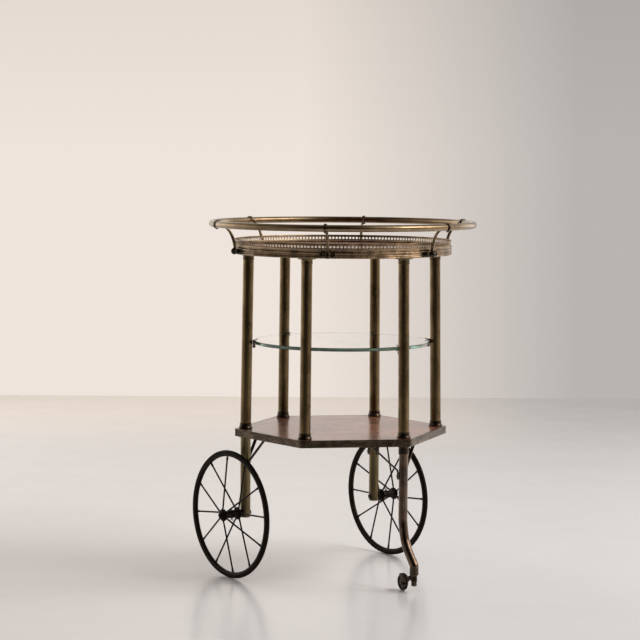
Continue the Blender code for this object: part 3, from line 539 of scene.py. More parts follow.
def round_streaks(tree, place, streak):
    """Coordinates that run fast across a ring, by radius and height, and slowly along it."""
    level = add_node(
        tree, "ShaderNodeVectorMath", {0: place, 1: (1, 1, 0)}, operation="MULTIPLY",
    )
    radius = add_node(tree, "ShaderNodeVectorMath", {0: level}, operation="LENGTH")
    height = add_node(tree, "ShaderNodeSeparateXYZ", {"Vector": place}).outputs["Z"]
    across = add_node(tree, "ShaderNodeCombineXYZ", {"X": radius, "Y": height})
    fast = add_node(
        tree, "ShaderNodeVectorMath", {0: across, "Scale": 1 / streak[0]}, operation="SCALE",
    )
    return add_node(
        tree, "ShaderNodeVectorMath", {0: place, 1: (1 / streak[1],) * 3, 2: fast},
        operation="MULTIPLY_ADD",
    )


def veneer(name):
    """Red-brown veneer under a worn satin lacquer, its sheets laid in sectors round the middle.

    The grain of each sheet runs along the board's edge, and the lacquer mirrors softly.
    """
    colours = bpy.context.scene.bar_cart_colours
    material, tree, shader, place = blank(name)
    split = add_node(tree, "ShaderNodeSeparateXYZ", {"Vector": place})
    angle = add_node(
        tree, "ShaderNodeMath", {0: split.outputs["Y"], 1: split.outputs["X"]},
        operation="ARCTAN2",
    )
    turns = add_node(
        tree, "ShaderNodeMath", {0: angle, 1: VENEER_SHEETS / math.tau, 2: 0.5},
        operation="MULTIPLY_ADD",
    )
    sheet = add_node(tree, "ShaderNodeMath", {0: turns}, operation="FLOOR")
    back = add_node(
        tree, "ShaderNodeMath", {0: sheet, 1: -math.tau / VENEER_SHEETS}, operation="MULTIPLY",
    )
    laid = add_node(
        tree, "ShaderNodeVectorRotate", {"Vector": place, "Angle": back}, rotation_type="Z_AXIS",
    )
    # Each sheet is cut from another place in the log
    shifted = add_node(tree, "ShaderNodeCombineXYZ", {"Z": sheet})
    apart = add_node(tree, "ShaderNodeVectorMath", {0: laid, 1: shifted}, operation="ADD")
    # Grain lines about 2.5 mm apart and 80 mm long, over figure of about 25 by 110 mm
    grain, figure = (
        add_node(tree, "ShaderNodeTexNoise", {
            "Vector": add_node(tree, "ShaderNodeMapping", {"Vector": apart, "Scale": scale}),
            "Scale": 1.0, "Detail": detail, "Roughness": rough, "Distortion": wavy,
        })
        for scale, detail, rough, wavy in (
            ((400.0, 12.0, 1.0), 6.0, 0.65, 0.4),
            ((40.0, 9.0, 1.0), 3.0, 0.5, 1.2),
        )
    )
    wood = layered(tree, colours.wood_dark, colours.wood_middle, figure, 0.30, 0.70)
    wood = layered(tree, wood, colours.wood_light, grain, 0.42, 0.70, 0.50)
    # The joint between two sheets shows as a dark line, about 1.5 mm wide with soft edges
    share = add_node(tree, "ShaderNodeMath", {0: turns}, operation="FRACT")
    edge = add_node(tree, "ShaderNodeMath", {0: share, 1: 0.5}, operation="PINGPONG")
    radius = add_node(tree, "ShaderNodeVectorMath", {0: place}, operation="LENGTH")
    width = add_node(tree, "ShaderNodeMath", {0: edge, 1: radius}, operation="MULTIPLY")
    wood = layered(tree, wood, colours.wood_dark, width, 0.0012, 0.0002, 0.55)
    # Old rings and rubbed patches in the lacquer, about 60 mm across
    wear = add_node(tree, "ShaderNodeTexNoise", {
        "Vector": place, "Scale": 17.0, "Detail": 5.0, "Roughness": 0.6,
    })
    roughness = add_node(tree, "ShaderNodeMapRange", {
        "Value": wear, "From Min": 0.3, "From Max": 0.7, "To Min": 0.12, "To Max": 0.22,
    })
    bump = add_node(
        tree, "ShaderNodeBump", {"Height": grain, "Strength": 0.35, "Distance": 0.00006},
    )
    feed(tree, shader, {
        "Base Color": wood, "Roughness": 0.45, "IOR": 1.5, "Specular IOR Level": 0.2,
        "Coat Weight": 0.9, "Coat IOR": 1.45, "Coat Roughness": roughness, "Normal": bump,
    })
    return material


def glass(name, tint, rough):
    """Float glass: clear through its faces, with faint finger marks that soften its mirror."""
    material, tree, shader, place = blank(name)
    # Finger marks about 35 mm across
    smears = add_node(tree, "ShaderNodeTexNoise", {
        "Vector": place, "Scale": 28.0, "Detail": 4.0, "Roughness": 0.6,
    })
    roughness = add_node(tree, "ShaderNodeMapRange", {
        "Value": smears, "From Min": 0.45, "From Max": 0.75,
        "To Min": rough[0], "To Max": rough[1],
    })
    feed(tree, shader, {
        "Base Color": getattr(bpy.context.scene.bar_cart_colours, tint),
        "IOR": 1.52, "Transmission Weight": 1.0, "Roughness": roughness,
    })
    return material


def coating(name, finish, rough, patch, grit, relief, gloss):
    """A dark coating or rubber: faint patches of dust, and a fine grit that breaks its gloss."""
    colours = bpy.context.scene.bar_cart_colours
    material, tree, shader, place = blank(name)
    patches = add_node(tree, "ShaderNodeTexNoise", {
        "Vector": place, "Scale": 1 / patch, "Detail": 5.0, "Roughness": 0.6,
    })
    grain = add_node(tree, "ShaderNodeTexNoise", {
        "Vector": place, "Scale": 1 / grit, "Detail": 2.0, "Roughness": 0.5,
    })
    dark, light = (getattr(colours, f"{finish}_{tone}") for tone in ("dark", "light"))
    base = layered(tree, dark, light, patches, 0.40, 0.75)
    roughness = add_node(tree, "ShaderNodeMapRange", {
        "Value": patches, "From Min": 0.3, "From Max": 0.7,
        "To Min": rough[0], "To Max": rough[1],
    })
    bump = add_node(
        tree, "ShaderNodeBump", {"Height": grain, "Strength": 0.4, "Distance": relief},
    )
    # A brown film of dust and oil warms the gloss
    feed(tree, shader, {
        "Base Color": base, "Roughness": roughness, "Normal": bump,
        "Specular IOR Level": gloss, "Specular Tint": linear("#d6b394"),
    })
    return material


# The cart's materials by short name: what makes each, and with which values
FINISHES = {
    # Drawn brass tube under an old brown patina: long faint streaks, olive where it is thin
    "tube": (metal, "aged drawn brass tube", "tube",
             (0.20, 0.30), 0.045, (0.0035, 0.060), 0.00003),
    # The handrail's tube: hands keep its patina thin, and its streaks run round the ring
    "rail": (metal, "handled brass tube", "rail",
             (0.20, 0.27), 0.060, (0.0034, 0.120), 0.00001, True, 0.75, 0.4),
    # The back legs' tube: duller than the columns, and painted darker brown as shade from the deck
    # above it
    "leg": (metal, "dull brown brass tube", "leg",
            (0.30, 0.42), 0.040, (0.0035, 0.050), 0.00004),
    # The front leg's tube: its patina has gone brown and glossy, and it keeps a sharp gleam
    "front_leg": (metal, "glossy brown brass tube", "front",
                  (0.14, 0.22), 0.045, (0.0035, 0.060), 0.00002, False, 0.75, 0.6),
    # The tray's mouldings, turned on a lathe: fine lines round the ring, lit along their edges
    "moulding": (metal, "turned brass moulding", "moulding",
                 (0.30, 0.44), 0.030, (0.0007, 0.060), 0.00004, True, 0.6),
    # Cast brass: almost black in its hollows, from tarnish and painted shade, and rubbed bright
    # along its edges, with a painted highlight
    "cast": (metal, "aged cast brass", "cast",
             (0.22, 0.36), 0.018, (0.0040, 0.0060), 0.00003),
    # The deck's brass strip: brown, blotched along its length and worn where boxes rub it
    "strip": (metal, "brown brass strip", "strip",
              (0.32, 0.46), 0.020, (0.0040, 0.0160), 0.00004, True),
    # Small brass forgings gone almost black, satin, with a glint on what sticks out: partly real
    # gloss, partly a painted highlight on the edges
    "black": (metal, "blackened brass forging", "black",
              (0.20, 0.34), 0.016, (0.0050, 0.0050), 0.00003),
    "deck": (veneer, "sectored deck veneer"),
    "tray": (veneer, "tray veneer"),
    "glass": (glass, "clear float glass", "glass_face", (0.0, 0.06)),
    "edge": (glass, "polished glass edge", "glass_edge", (0.03, 0.10)),
    # Stove enamel on steel: near black and satin, slightly orange-peeled, dusty in places
    "enamel": (coating, "black stove enamel", "enamel",
               (0.30, 0.48), 0.020, 0.0012, 0.00004, 0.16),
    # Solid black rubber: matt, greyed by dust in patches
    "rubber": (coating, "solid black rubber", "rubber",
               (0.55, 0.75), 0.030, 0.0010, 0.00006, 0.14),
}
MATERIALS = {}


def material(finish):
    """A finish of the cart as a material, made once."""
    if finish not in MATERIALS:
        make, *values = FINISHES[finish]
        MATERIALS[finish] = make(*values)
    return MATERIALS[finish]


# ---- What a user may change


class BarCartSizes(bpy.types.PropertyGroup):
    """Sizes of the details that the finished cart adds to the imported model."""

    deck_corner: bpy.props.FloatProperty(
        name="Deck corner", description="Radius of the deck's corners", default=0.0060,
        unit="LENGTH",
    )
    plate_width: bpy.props.FloatProperty(
        name="Corner plate", description="How far a corner plate reaches from its corner",
        default=0.0190, unit="LENGTH",
    )
    gallery_holes: bpy.props.IntProperty(
        name="Gallery holes", description="Holes round the tray's gallery", default=192,
    )
    gallery_hole: bpy.props.FloatProperty(
        name="Hole radius", description="Radius of a gallery hole", default=0.0029,
        unit="LENGTH",
    )
    nipple_length: bpy.props.FloatProperty(
        name="Spoke nipple", description="Length of the nipple at a spoke's outer end",
        default=0.0090, unit="LENGTH",
    )
    spoke_wire: bpy.props.FloatProperty(
        name="Spoke wire", description="Radius of a spoke's wire", default=0.0021, unit="LENGTH",
    )
    edge_round: bpy.props.FloatProperty(
        name="Edge rounding", description="Radius of small worn edges", default=0.0004,
        unit="LENGTH",
    )


def colour_property(name, description, text):
    """A colour that the panel shows, from its sRGB hex value."""
    return bpy.props.FloatVectorProperty(
        name=name, description=description, subtype="COLOR", size=4, min=0, max=1,
        default=linear(text),
    )


class BarCartColours(bpy.types.PropertyGroup):
    """Colours of the cart's finishes."""

    tube_dark: colour_property("Tube, dark", "Thick patina on the tubes", "#54452f")
    tube_middle: colour_property("Tube", "Patina on the tubes", "#7a6647")
    tube_light: colour_property("Tube, worn", "Thin patina on the tubes", "#94805c")
    rail_dark: colour_property("Rail, dark", "Patina left on the handrail", "#6b573a")
    rail_middle: colour_property("Rail", "Handled brass of the handrail", "#947e60")
    rail_light: colour_property("Rail, worn", "Bare streaks on the handrail", "#c6b392")
    # The back legs' darker tones are painted shade from the deck above them, over their dull patina
    leg_dark: colour_property("Legs, dark", "Thick patina on the back legs", "#3f3522")
    leg_middle: colour_property("Legs", "Dull patina on the back legs", "#64563a")
    leg_light: colour_property("Legs, worn", "Thin patina on the back legs", "#807150")
    front_dark: colour_property("Front leg, dark", "Thick brown patina", "#2b1e14")
    front_middle: colour_property("Front leg", "Brown patina", "#5d4735")
    front_light: colour_property("Front leg, worn", "Thin brown patina", "#a8947e")
    # The dark and worn tones of mouldings, castings and forgings also serve as painted shade in
    # hollows and painted highlights on edges
    moulding_dark: colour_property("Moulding, dark", "Tarnish between the beads", "#463422")
    moulding_middle: colour_property("Moulding", "Turned brass of the tray", "#a0866a")
    moulding_light: colour_property("Moulding, worn", "Rubbed beads", "#dcc7a4")
    cast_dark: colour_property("Casting, dark", "Tarnish in the hollows", "#33281c")
    cast_middle: colour_property("Casting", "Patina on castings", "#78664a")
    cast_light: colour_property("Casting, worn", "Rubbed edges of castings", "#b3a080")
    strip_dark: colour_property("Strip, dark", "Blotches on the brass strip", "#32281d")
    strip_middle: colour_property("Strip", "Brown brass strip", "#54473a")
    strip_light: colour_property("Strip, worn", "Rubbed brass strip", "#8a7863")
    black_dark: colour_property("Forging, dark", "Blackened forgings", "#1f1812")
    black_middle: colour_property("Forging", "Brown-black forgings", "#352b20")
    black_light: colour_property("Forging, worn", "Rubbed forgings", "#746552")
    wood_dark: colour_property("Wood, dark", "Dark figure of the veneer", "#50301f")
    wood_middle: colour_property("Wood", "Ground of the veneer", "#7f503c")
    wood_light: colour_property("Wood, light", "Light grain of the veneer", "#a0705a")
    glass_face: colour_property("Glass", "The shelf's faces", "#fbfdfc")
    glass_edge: colour_property("Glass edge", "The shelf's polished edge", "#5c7468")
    enamel_dark: colour_property("Enamel", "Black enamel", "#0c0806")
    enamel_light: colour_property("Enamel, dusty", "Dusty black enamel", "#171310")
    rubber_dark: colour_property("Rubber", "Black rubber", "#0f0b08")
    rubber_light: colour_property("Rubber, dusty", "Dusty rubber", "#1b1612")


class BarCartStage(bpy.types.PropertyGroup):
    """The floor, the backdrop, the light and the camera."""

    warm: colour_property("Backdrop, left", "Warm side of the backdrop", "#efe4db")
    cool: colour_property("Backdrop, right", "Cool side of the backdrop", "#b8b4b1")
    room: colour_property("Studio", "What metal mirrors at the sides", "#f2eae2")
    floor: colour_property("Floor", "Colour of the floor", "#d2d0cf")
    # The floor's far left and near right tones paint light and shade onto it, and its mottled tone
    # also paints the shade far off at the right
    floor_mottle_and_painted_shade: colour_property("Floor, mottled", "Darker mottles of the floor", "#c8c6c5")
    floor_far_left_painted_light: colour_property("Floor, far left", "Floor far off at the left", "#f7e9dc")
    floor_near_painted_shade: colour_property("Floor, near right", "Floor near at the right", "#cdcac8")
    lens: bpy.props.FloatProperty(
        name="Lens", description="Focal length on a 36 mm wide sensor, in millimetres",
        default=114.71,
    )


# ---- Pieces


class BARCART_OT_deck(bpy.types.Operator):
    """Models the veneered deck board and the brass band round its edge"""

    bl_idname = "bar_cart.deck"
    bl_label = "Deck"

    def execute(self, context):
        sizes = context.scene.bar_cart_sizes
        wall, lip, groove = 0.0030, 0.0030, 0.0008
        inner = BAND_RADIUS - wall / APOTHEM
        board_radius = inner - GAP / APOTHEM
        board = hexagon("deck_veneer", board_radius, DECK_TOP, sizes.deck_corner - wall, True)
        edit_all("FACE")
        bpy.ops.mesh.extrude_region_move(
            TRANSFORM_OT_translate={"value": (0, 0, DECK_LOW - DECK_TOP)}
        )
        soften(close_up(board), sizes.edge_round)
        done(board, "cart_frame", ["deck_board"], "wood_veneer", "deck")

        band = hexagon("deck_band", BAND_RADIUS, DECK_TOP, sizes.deck_corner, False)
        step = BAND_RADIUS - groove
        follow(band, [
            (BAND_RADIUS, DECK_TOP), (BAND_RADIUS, DECK_TOP - lip),
            (step, DECK_TOP - lip - groove), (step, DECK_LOW + lip + groove),
            (BAND_RADIUS, DECK_LOW + lip), (BAND_RADIUS, DECK_LOW),
            (inner, DECK_LOW), (inner, DECK_TOP),
        ])
        soften(band, sizes.edge_round)
        band = joined("deck_band", [band, *corner_plates(sizes, groove)])
        done(band, "cart_frame", ["deck_edge_band"], "dark_brass", "strip")
        return {"FINISHED"}


def hexagon(name, radius, height, corner, filled):
    """A six-sided loop or face with rounded corners, from a ring with six points."""
    deselect()
    bpy.ops.mesh.primitive_circle_add(
        vertices=6, radius=radius, location=(0, 0, height),
        fill_type="NGON" if filled else "NOTHING",
    )
    piece = added(name)
    edit_all()
    # The cut back from a corner that gives its radius on a corner of 120 degrees
    bpy.ops.mesh.bevel(
        offset=corner * math.tan(math.radians(30)), offset_type="OFFSET", affect="VERTICES",
        segments=6, profile=0.5,
    )
    bpy.ops.object.mode_set(mode="OBJECT")
    return piece


def corner_plates(sizes, groove):
    """Plates bent round the band's corners, each held by two small screws."""
    thickness, reach = 0.0005, sizes.plate_width
    height = DECK_TOP - DECK_LOW - 2 * groove
    middle = (DECK_TOP + DECK_LOW) / 2
    face = BAND_RADIUS * APOTHEM - groove
    along = (BAND_RADIUS - sizes.deck_corner - reach) / 2
    plates = []
    for side in (-1, 1):
        turn = turn_z(side * 30)
        plate = block(
            "plate", (face + thickness / 2, -side * along, middle), (thickness, reach, height),
        )
        select_faces(plate, lambda centre, normal: normal.x > 0.9)
        bpy.ops.mesh.inset(thickness=0.0004, depth=0)
        bpy.ops.transform.translate(value=(0.0001, 0, 0))
        bpy.ops.mesh.inset(thickness=0.0008, depth=0)
        plates.append(settle(close_up(plate), turn))
        head = turned(
            "screw", profile(0, 0, (0, 0.9), (0.9, 0.8), (1.5, 0.4), (1.7, 0), (0, 0)),
            SMALL_SIDES,
        )
        # A shallow socket in the top of the head
        select_faces(head, lambda centre, normal: centre.z > 0.00076)
        bpy.ops.mesh.inset(thickness=0.0002, depth=-0.0002)
        bpy.ops.object.mode_set(mode="OBJECT")
        place = moved(face + thickness, -side * along, middle)
        plates.append(settle(head, turn @ place @ turn_about("Y", 90)))
    pair = joined("corner_plate", plates)
    made = [copied(pair, f"corner_plate_{place}", turn_z(turn)) for place, turn in CORNERS.items()]
    scrap(pair)
    return made


class BARCART_OT_columns(bpy.types.Operator):
    """Models the six leaning columns, their feet and the screws of their flanges"""

    bl_idname = "bar_cart.columns"
    bl_label = "Columns and feet"

    def execute(self, context):
        flange, thick, collar, screw_circle = 0.0217, 0.0030, 0.0116, 0.0178
        length = COLUMN_RISE - 2 * GAP - flange * math.sin(COLUMN_ANGLE)
        head = length - thick
        low = head - collar
        column = turned("column", [
            *profile(flange, length, (-0.8, 0), (0, -0.8)),
            *profile(flange, head, (0, 0.6), (-0.6, 0)),
            *profile(COLUMN_RADIUS, head, (1.8, 0), (1.2, -0.6), (1.2, -1.2), (0.8, -1.8),
                     (0.5, -3.0)),
            *profile(COLUMN_RADIUS, low, (0.5, 3.4), (0.8, 2.4), (0.3, 1.8), (0.3, 1.4),
                     (0.9, 1.0), (0.9, 0.3), (0, 0)),
            *profile(COLUMN_RADIUS, 0, (0, 0.6), (-0.6, 0), (-1.5, 0)),
            *profile(COLUMN_RADIUS, length, (-1.5, 0)),
        ])
        screw = screw_head(0.0030, 0.0011)
        screws = [
            copied(screw, "screw", turn_z(angle) @ moved(screw_circle, 0, head))
            for angle in (60, 180, 300)
        ]
        scrap(screw)
        column = joined("column", [column, *screws])
        rise = 0.0140
        wide = COLUMN_RADIUS + GAP + rise * math.tan(COLUMN_ANGLE)
        foot = turned("column_foot", [
            *profile(wide, rise, (0.3, 0), (0.6, -0.3), (0.6, -3.0), (0.8, -5.0), (1.2, -7.0),
                     (1.8, -8.8), (2.6, -10.2)),
            *profile(wide, 0, (3.2, 2.8), (3.3, 2.0), (2.9, 1.3), (2.7, 1.0), (3.1, 0.6),
                     (3.1, 0), (0, 0)),
            (wide, rise),
        ])
        lift = GAP + COLUMN_RADIUS * math.sin(COLUMN_ANGLE)
        lean = turn_about("Y", -math.degrees(COLUMN_ANGLE))
        for place, turn in CORNERS.items():
            tube = copied(
                column, f"column_{place}_tube",
                turn_z(turn) @ moved(COLUMN_CIRCLE, 0, DECK_TOP + lift) @ lean,
            )
            done(tube, "cart_frame", [f"column_{place}"], "brass_tube", "tube", "cast")
            # The collar and the flange over it take the darker cast finish: partly tarnish, as on
            # the castings, and partly painted shade under the tray
            for face in tube.data.polygons:
                face.material_index = int(face.center.z > DECK_TOP + low + 0.0012)
            ferrule = copied(
                foot, f"column_{place}_foot",
                turn_z(turn) @ moved(COLUMN_CIRCLE, 0, DECK_TOP + GAP),
            )
            done(ferrule, "cart_frame", [f"column_foot_{place}"], "cast_brass", "black")
        scrap(column)
        scrap(foot)
        return {"FINISHED"}


def screw_head(radius, height):
    """A slotted screw head that hangs under a flange."""
    head = turned("screw", [
        (0, 0), (radius, 0), (radius * 0.95, -height * 0.4), (radius * 0.6, -height * 0.85),
        (0, -height),
    ], SMALL_SIDES)
    cut_out(head, block("slot", (0, 0, -height), (radius * 3, radius * 0.28, height)))
    return head


class BARCART_OT_shelf(bpy.types.Operator):
    """Models the round glass shelf and the clips that grip its edge"""

    bl_idname = "bar_cart.shelf"
    bl_label = "Glass shelf and clips"

    def execute(self, context):
        bevel = 0.0010
        shelf = turned("shelf_glass", [
            (0, SHELF_TOP), (SHELF_RADIUS - bevel, SHELF_TOP), (SHELF_RADIUS, SHELF_TOP - bevel),
            (SHELF_RADIUS, SHELF_LOW + bevel), (SHELF_RADIUS - bevel, SHELF_LOW), (0, SHELF_LOW),
        ], RING_SIDES)
        soften(shelf, 0.0003, math.radians(20))
        done(shelf, "cart_frame", ["glass_shelf"], "shelf_glass", "glass", "edge")
        for face in shelf.data.polygons:
            face.material_index = int(abs(face.normal.z) < 0.9)

        clip = clip_pattern(context.scene.bar_cart_sizes)
        for place, turn in CORNERS.items():
            piece = copied(clip, f"shelf_clip_{place}_jaw", turn_z(turn))
            done(piece, "cart_frame", [f"shelf_clip_{place}"], "dark_brass", "black")
        scrap(clip)
        return {"FINISHED"}


def clip_pattern(sizes):
    """One clip: a body behind the glass, a jaw under it, a raised prong over it, a thumb screw."""
    low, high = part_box("shelf_clip_back")
    inner, back = low.y, high.y
    slot = SHELF_RADIUS + GAP
    mouth = (SHELF_TOP - SHELF_LOW) / 2 + GAP
    middle = (SHELF_TOP + SHELF_LOW) / 2
    jaw = 0.0019
    body = block("clip", ((slot + back) / 2, 0, middle), (back - slot, 0.0076, 2 * (mouth + jaw)))
    select_faces(body, lambda centre, normal: normal.x > 0.9)
    bpy.ops.mesh.inset(thickness=0.0010, depth=0)
    bpy.ops.transform.resize(value=(1, 0.9, 0.9), center_override=(back, 0, middle))
    pieces = [soften(close_up(body), sizes.edge_round)]
    root = slot + 0.0012
    over = middle + mouth + 0.0008
    under = middle - mouth - jaw / 2
    for name, path, thickness, width, taper in (
        ("lower_jaw", [(root, under), (inner + 0.0035, under), (inner, under)], jaw, 0.0070, 0.2),
        ("prong", [(root, over), (slot - 0.0022, over + 0.0006), (inner - 0.0004, over + 0.0030)],
         0.0023, 0.0042, 0.35),
    ):
        path = smooth_path(path, 5)
        shares = [1 - taper * (step / (len(path) - 1)) ** 2 for step in range(len(path))]
        pieces.append(swept(name, path, thickness, width, 12, shares))
    top = middle - mouth - jaw + 0.0004
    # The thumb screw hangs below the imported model's clip
    end = low.z - 0.0026
    screw = turned("thumb_screw", [
        *profile(0, top, (0, 0), (1.9, 0), (1.9, -1.0), (3.3, -1.4)),
        (0.0036, (top + end) / 2 - 0.0004),
        *profile(0, end, (3.0, 0.6), (1.8, 0), (0, 0)),
    ], SMALL_SIDES)
    pieces.append(settle(screw, moved(root, 0, 0)))
    return joined("clip", pieces)


class BARCART_OT_tray(bpy.types.Operator):
    """Models the moulded tray ring, the tray board and the pierced gallery"""

    bl_idname = "bar_cart.tray"
    bl_label = "Tray and gallery"

    def execute(self, context):
        sizes = context.scene.bar_cart_sizes
        wall = TRAY_RADIUS - 0.0085
        sole = TRAY_LOW + 0.0027
        ring = turned("tray_moulding", [
            *profile(TRAY_RADIUS, TRAY_TOP, (-0.6, 0), (0, -0.6), (0, -2.2), (-0.6, -3.0),
                     (-2.2, -3.4), (-2.6, -4.6), (-2.0, -5.6), (-1.2, -6.4), (-0.9, -8.0),
                     (-1.1, -9.6), (-2.0, -10.8), (-2.7, -11.4), (-2.8, -12.6), (-1.9, -13.0),
                     (-1.6, -13.9), (-2.0, -14.7), (-2.6, -15.1), (-1.8, -16.0), (-0.9, -17.2),
                     (-0.8, -18.6)),
            *profile(TRAY_RADIUS, TRAY_LOW, (-1.4, 0.6), (-2.0, 0), (-64.5, 0)),
            (TRAY_RADIUS - 0.0645, sole), (wall, sole),
            *profile(wall, TRAY_TOP, (0, -0.4), (0.4, 0)),
        ], RING_SIDES)
        done(ring, "cart_frame", ["tray_ring"], "cast_brass", "moulding")

        board = turned("tray_veneer", [
            (0, TRAY_FLOOR), (wall - GAP, TRAY_FLOOR), (wall - GAP, sole + GAP), (0, sole + GAP),
        ], RING_SIDES)
        soften(board, sizes.edge_round)
        done(board, "cart_frame", ["tray_board"], "wood_veneer", "tray")

        gallery = gallery_band(sizes)
        done(gallery, "cart_frame", ["gallery"], "cast_brass", "moulding")
        return {"FINISHED"}


def gallery_band(sizes):
    """The pierced gallery: a pierced panel spun round the tray, with a bead over it and a foot."""
    low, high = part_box("gallery")
    head_low = high.z - 0.0034
    foot_top = low.z + 0.0016
    height = head_low - foot_top
    inner_foot = TRAY_RADIUS - 0.0064
    radius = inner_foot + 0.0018
    flare, rows = 0.0016, 5
    half = radius * math.tan(math.pi / sizes.gallery_holes)
    middle = Vector((radius, 0, (head_low + foot_top) / 2))
    deselect()
    bpy.ops.mesh.primitive_plane_add(size=1, location=middle, rotation=(0, math.radians(90), 0))
    panel = added("gallery_panel", (height, 2 * half, 1))
    edit_all("FACE")
    bpy.ops.mesh.subdivide(number_cuts=rows - 1)
    # The squares in the panel's middle become one round face, which is sunk and cut out
    select_faces(
        panel,
        lambda at, normal: abs(at.y) < half * 0.7 and abs(at.z - middle.z) < height * 0.35,
    )
    bpy.ops.transform.tosphere(value=1.0, center_override=middle)
    bpy.ops.mesh.dissolve_faces()
    bpy.ops.object.mode_set(mode="OBJECT")
    face = max(panel.data.polygons, key=lambda face: len(face.vertices))
    reaches = [(panel.data.vertices[index].co - middle).length for index in face.vertices]
    share = (sizes.gallery_hole + 0.0011) * len(reaches) / sum(reaches)
    edit("FACE")
    bpy.ops.transform.resize(value=(1, share, share), center_override=middle)
    for thickness, depth in ((0.0003, 0.0006), (0.0005, 0.0), (0.0003, -0.0005)):
        bpy.ops.mesh.inset(thickness=thickness, depth=depth)
    bpy.ops.mesh.delete(type="FACE")
    # The band leans out: each row of its frame widens to match
    for row in range(rows + 1):
        rise = foot_top + height * row / rows
        select_points(panel, lambda co: abs(co.z - rise) < 0.0002 and (
            abs(abs(co.y) - half) < 0.0001 or row in (0, rows)
        ))
        share = (radius + flare * row / rows) / radius
        bpy.ops.transform.resize(value=(1, share, 1), center_override=(radius, 0, rise))
    edit_all()
    bpy.ops.transform.rotate(
        value=-math.atan2(flare, height), orient_axis="Y", orient_type="GLOBAL",
        center_override=(radius, 0, foot_top),
    )
    bpy.ops.mesh.spin(
        steps=sizes.gallery_holes - 1, dupli=True,
        angle=math.tau * (sizes.gallery_holes - 1) / sizes.gallery_holes,
        center=(0, 0, 0), axis=(0, 0, 1),
    )
    bpy.ops.mesh.select_all(action="SELECT")
    bpy.ops.mesh.remove_doubles(threshold=0.00008)
    pick(panel)
    wall = panel.modifiers.new("sheet", "SOLIDIFY")
    wall.thickness = 0.0009
    wall.offset = -1
    bpy.ops.object.modifier_apply(modifier=wall.name)
    bead = spun("gallery_bead", radius + flare - 0.0004, high.z - 0.0019, 0.0037, SMALL_SIDES)
    foot = turned("gallery_foot", profile(
        inner_foot, foot_top, (2.4, 0.4), (3.0, -0.2), (3.0, -1.6), (0, -1.6), (0, -0.2),
        (0.6, 0.4),
    ), RING_SIDES)
    return joined("gallery_band", [panel, bead, foot])


class BARCART_OT_rail(bpy.types.Operator):
    """Models the ring-shaped handrail"""

    bl_idname = "bar_cart.rail"
    bl_label = "Handrail"

    def execute(self, context):
        rail = spun("handrail_tube", RAIL_CIRCLE, RAIL_HEIGHT, 2 * RAIL_RADIUS, TUBE_SIDES)
        done(rail, "cart_frame", ["handrail"], "brass_tube", "rail")
        return {"FINISHED"}


class BARCART_OT_brackets(bpy.types.Operator):
    """Models the six curled brackets with their ball feet, knobs and hooks"""

    bl_idname = "bar_cart.brackets"
    bl_label = "Rail brackets"

    def execute(self, context):
        foot_ball, knob, apart = 0.0080, 0.0066, 0.0152
        foot_x = TRAY_RADIUS + 0.0010 + foot_ball
        foot_z = TRAY_TOP - 0.0122
        points = [
            (foot_x + out * (RAIL_CIRCLE - foot_x), foot_z + up * (RAIL_HEIGHT - foot_z))
            for out, up in (
                (0.0, 0.0), (-0.02, 0.17), (0.02, 0.34), (0.13, 0.56), (0.34, 0.79), (0.60, 0.92),
            )
        ]
        hook = arc((RAIL_CIRCLE, RAIL_HEIGHT), RAIL_RADIUS + 0.0018, 168, -88, 32)
        path = smooth_path([*points, hook[0]], 5)
        shares = []
        for index in range(len(path)):
            along = index / (len(path) - 1)
            shares.append(0.80 + 0.40 * math.sin(math.pi * along**0.8) ** 2 - 0.22 * along**3)
        arm = swept("arm", path, 0.0064, 0.0062, BAR_SIDES, shares)
        strap = soften(swept("hook", hook, 0.0020, 0.0064, 4), 0.0004)
        tip = turned(
            "hook_tip", both_ways(profile(0, 0, (0, 3.3), (1.2, 3.1), (1.6, 2.5))), SMALL_SIDES,
        )
        settle(tip, moved(hook[-1][0], 0, hook[-1][1]) @ turn_about("X", 90))
        deselect()
        bpy.ops.mesh.primitive_uv_sphere_add(
            segments=BALL_SIDES, ring_count=BALL_SIDES // 2, radius=foot_ball, 
            location=(foot_x, 0, foot_z),
        )
        base = close_up(added("foot_ball"))
        knob_x = math.sqrt((TRAY_RADIUS - 0.0020) ** 2 - apart**2) + GAP + knob
        tie = turned("tie", both_ways([
            (0, apart), (0.0025, apart), (0.0025, 0.0060), (0.0033, 0.0052),
        ]), SMALL_SIDES)
        settle(tie, moved((foot_x + knob_x) / 2, 0, foot_z) @ turn_about("X", 90))
        pieces = [arm, strap, tip, base, tie]
        for side in (-1, 1):
            head = turned("knob", [(knob * out, knob * up) for out, up in (
                (0, 1), (0.42, 0.92), (0.74, 0.70), (0.95, 0.34), (1, 0.10), (0.97, -0.12),
                (0.80, -0.24), (0.92, -0.36), (0.86, -0.58), (0.55, -0.84), (0, -1),
            )], BALL_SIDES)
            place = moved(knob_x, side * apart, foot_z)
            pieces.append(settle(head, place @ turn_about("X", -side * 90)))
        pattern = joined("bracket", pieces)
        for place, turn in BRACKETS.items():
            piece = copied(pattern, f"rail_bracket_{place}_arm", turn_z(turn))
            done(piece, "cart_frame", [f"rail_bracket_{place}"], "cast_brass", "cast", "black")
            # The ball foot, its tie and its knobs are black with old polish
            for face in piece.data.polygons:
                face.material_index = int(face.center.z < foot_z + foot_ball * 0.86)
        scrap(pattern)
        return {"FINISHED"}


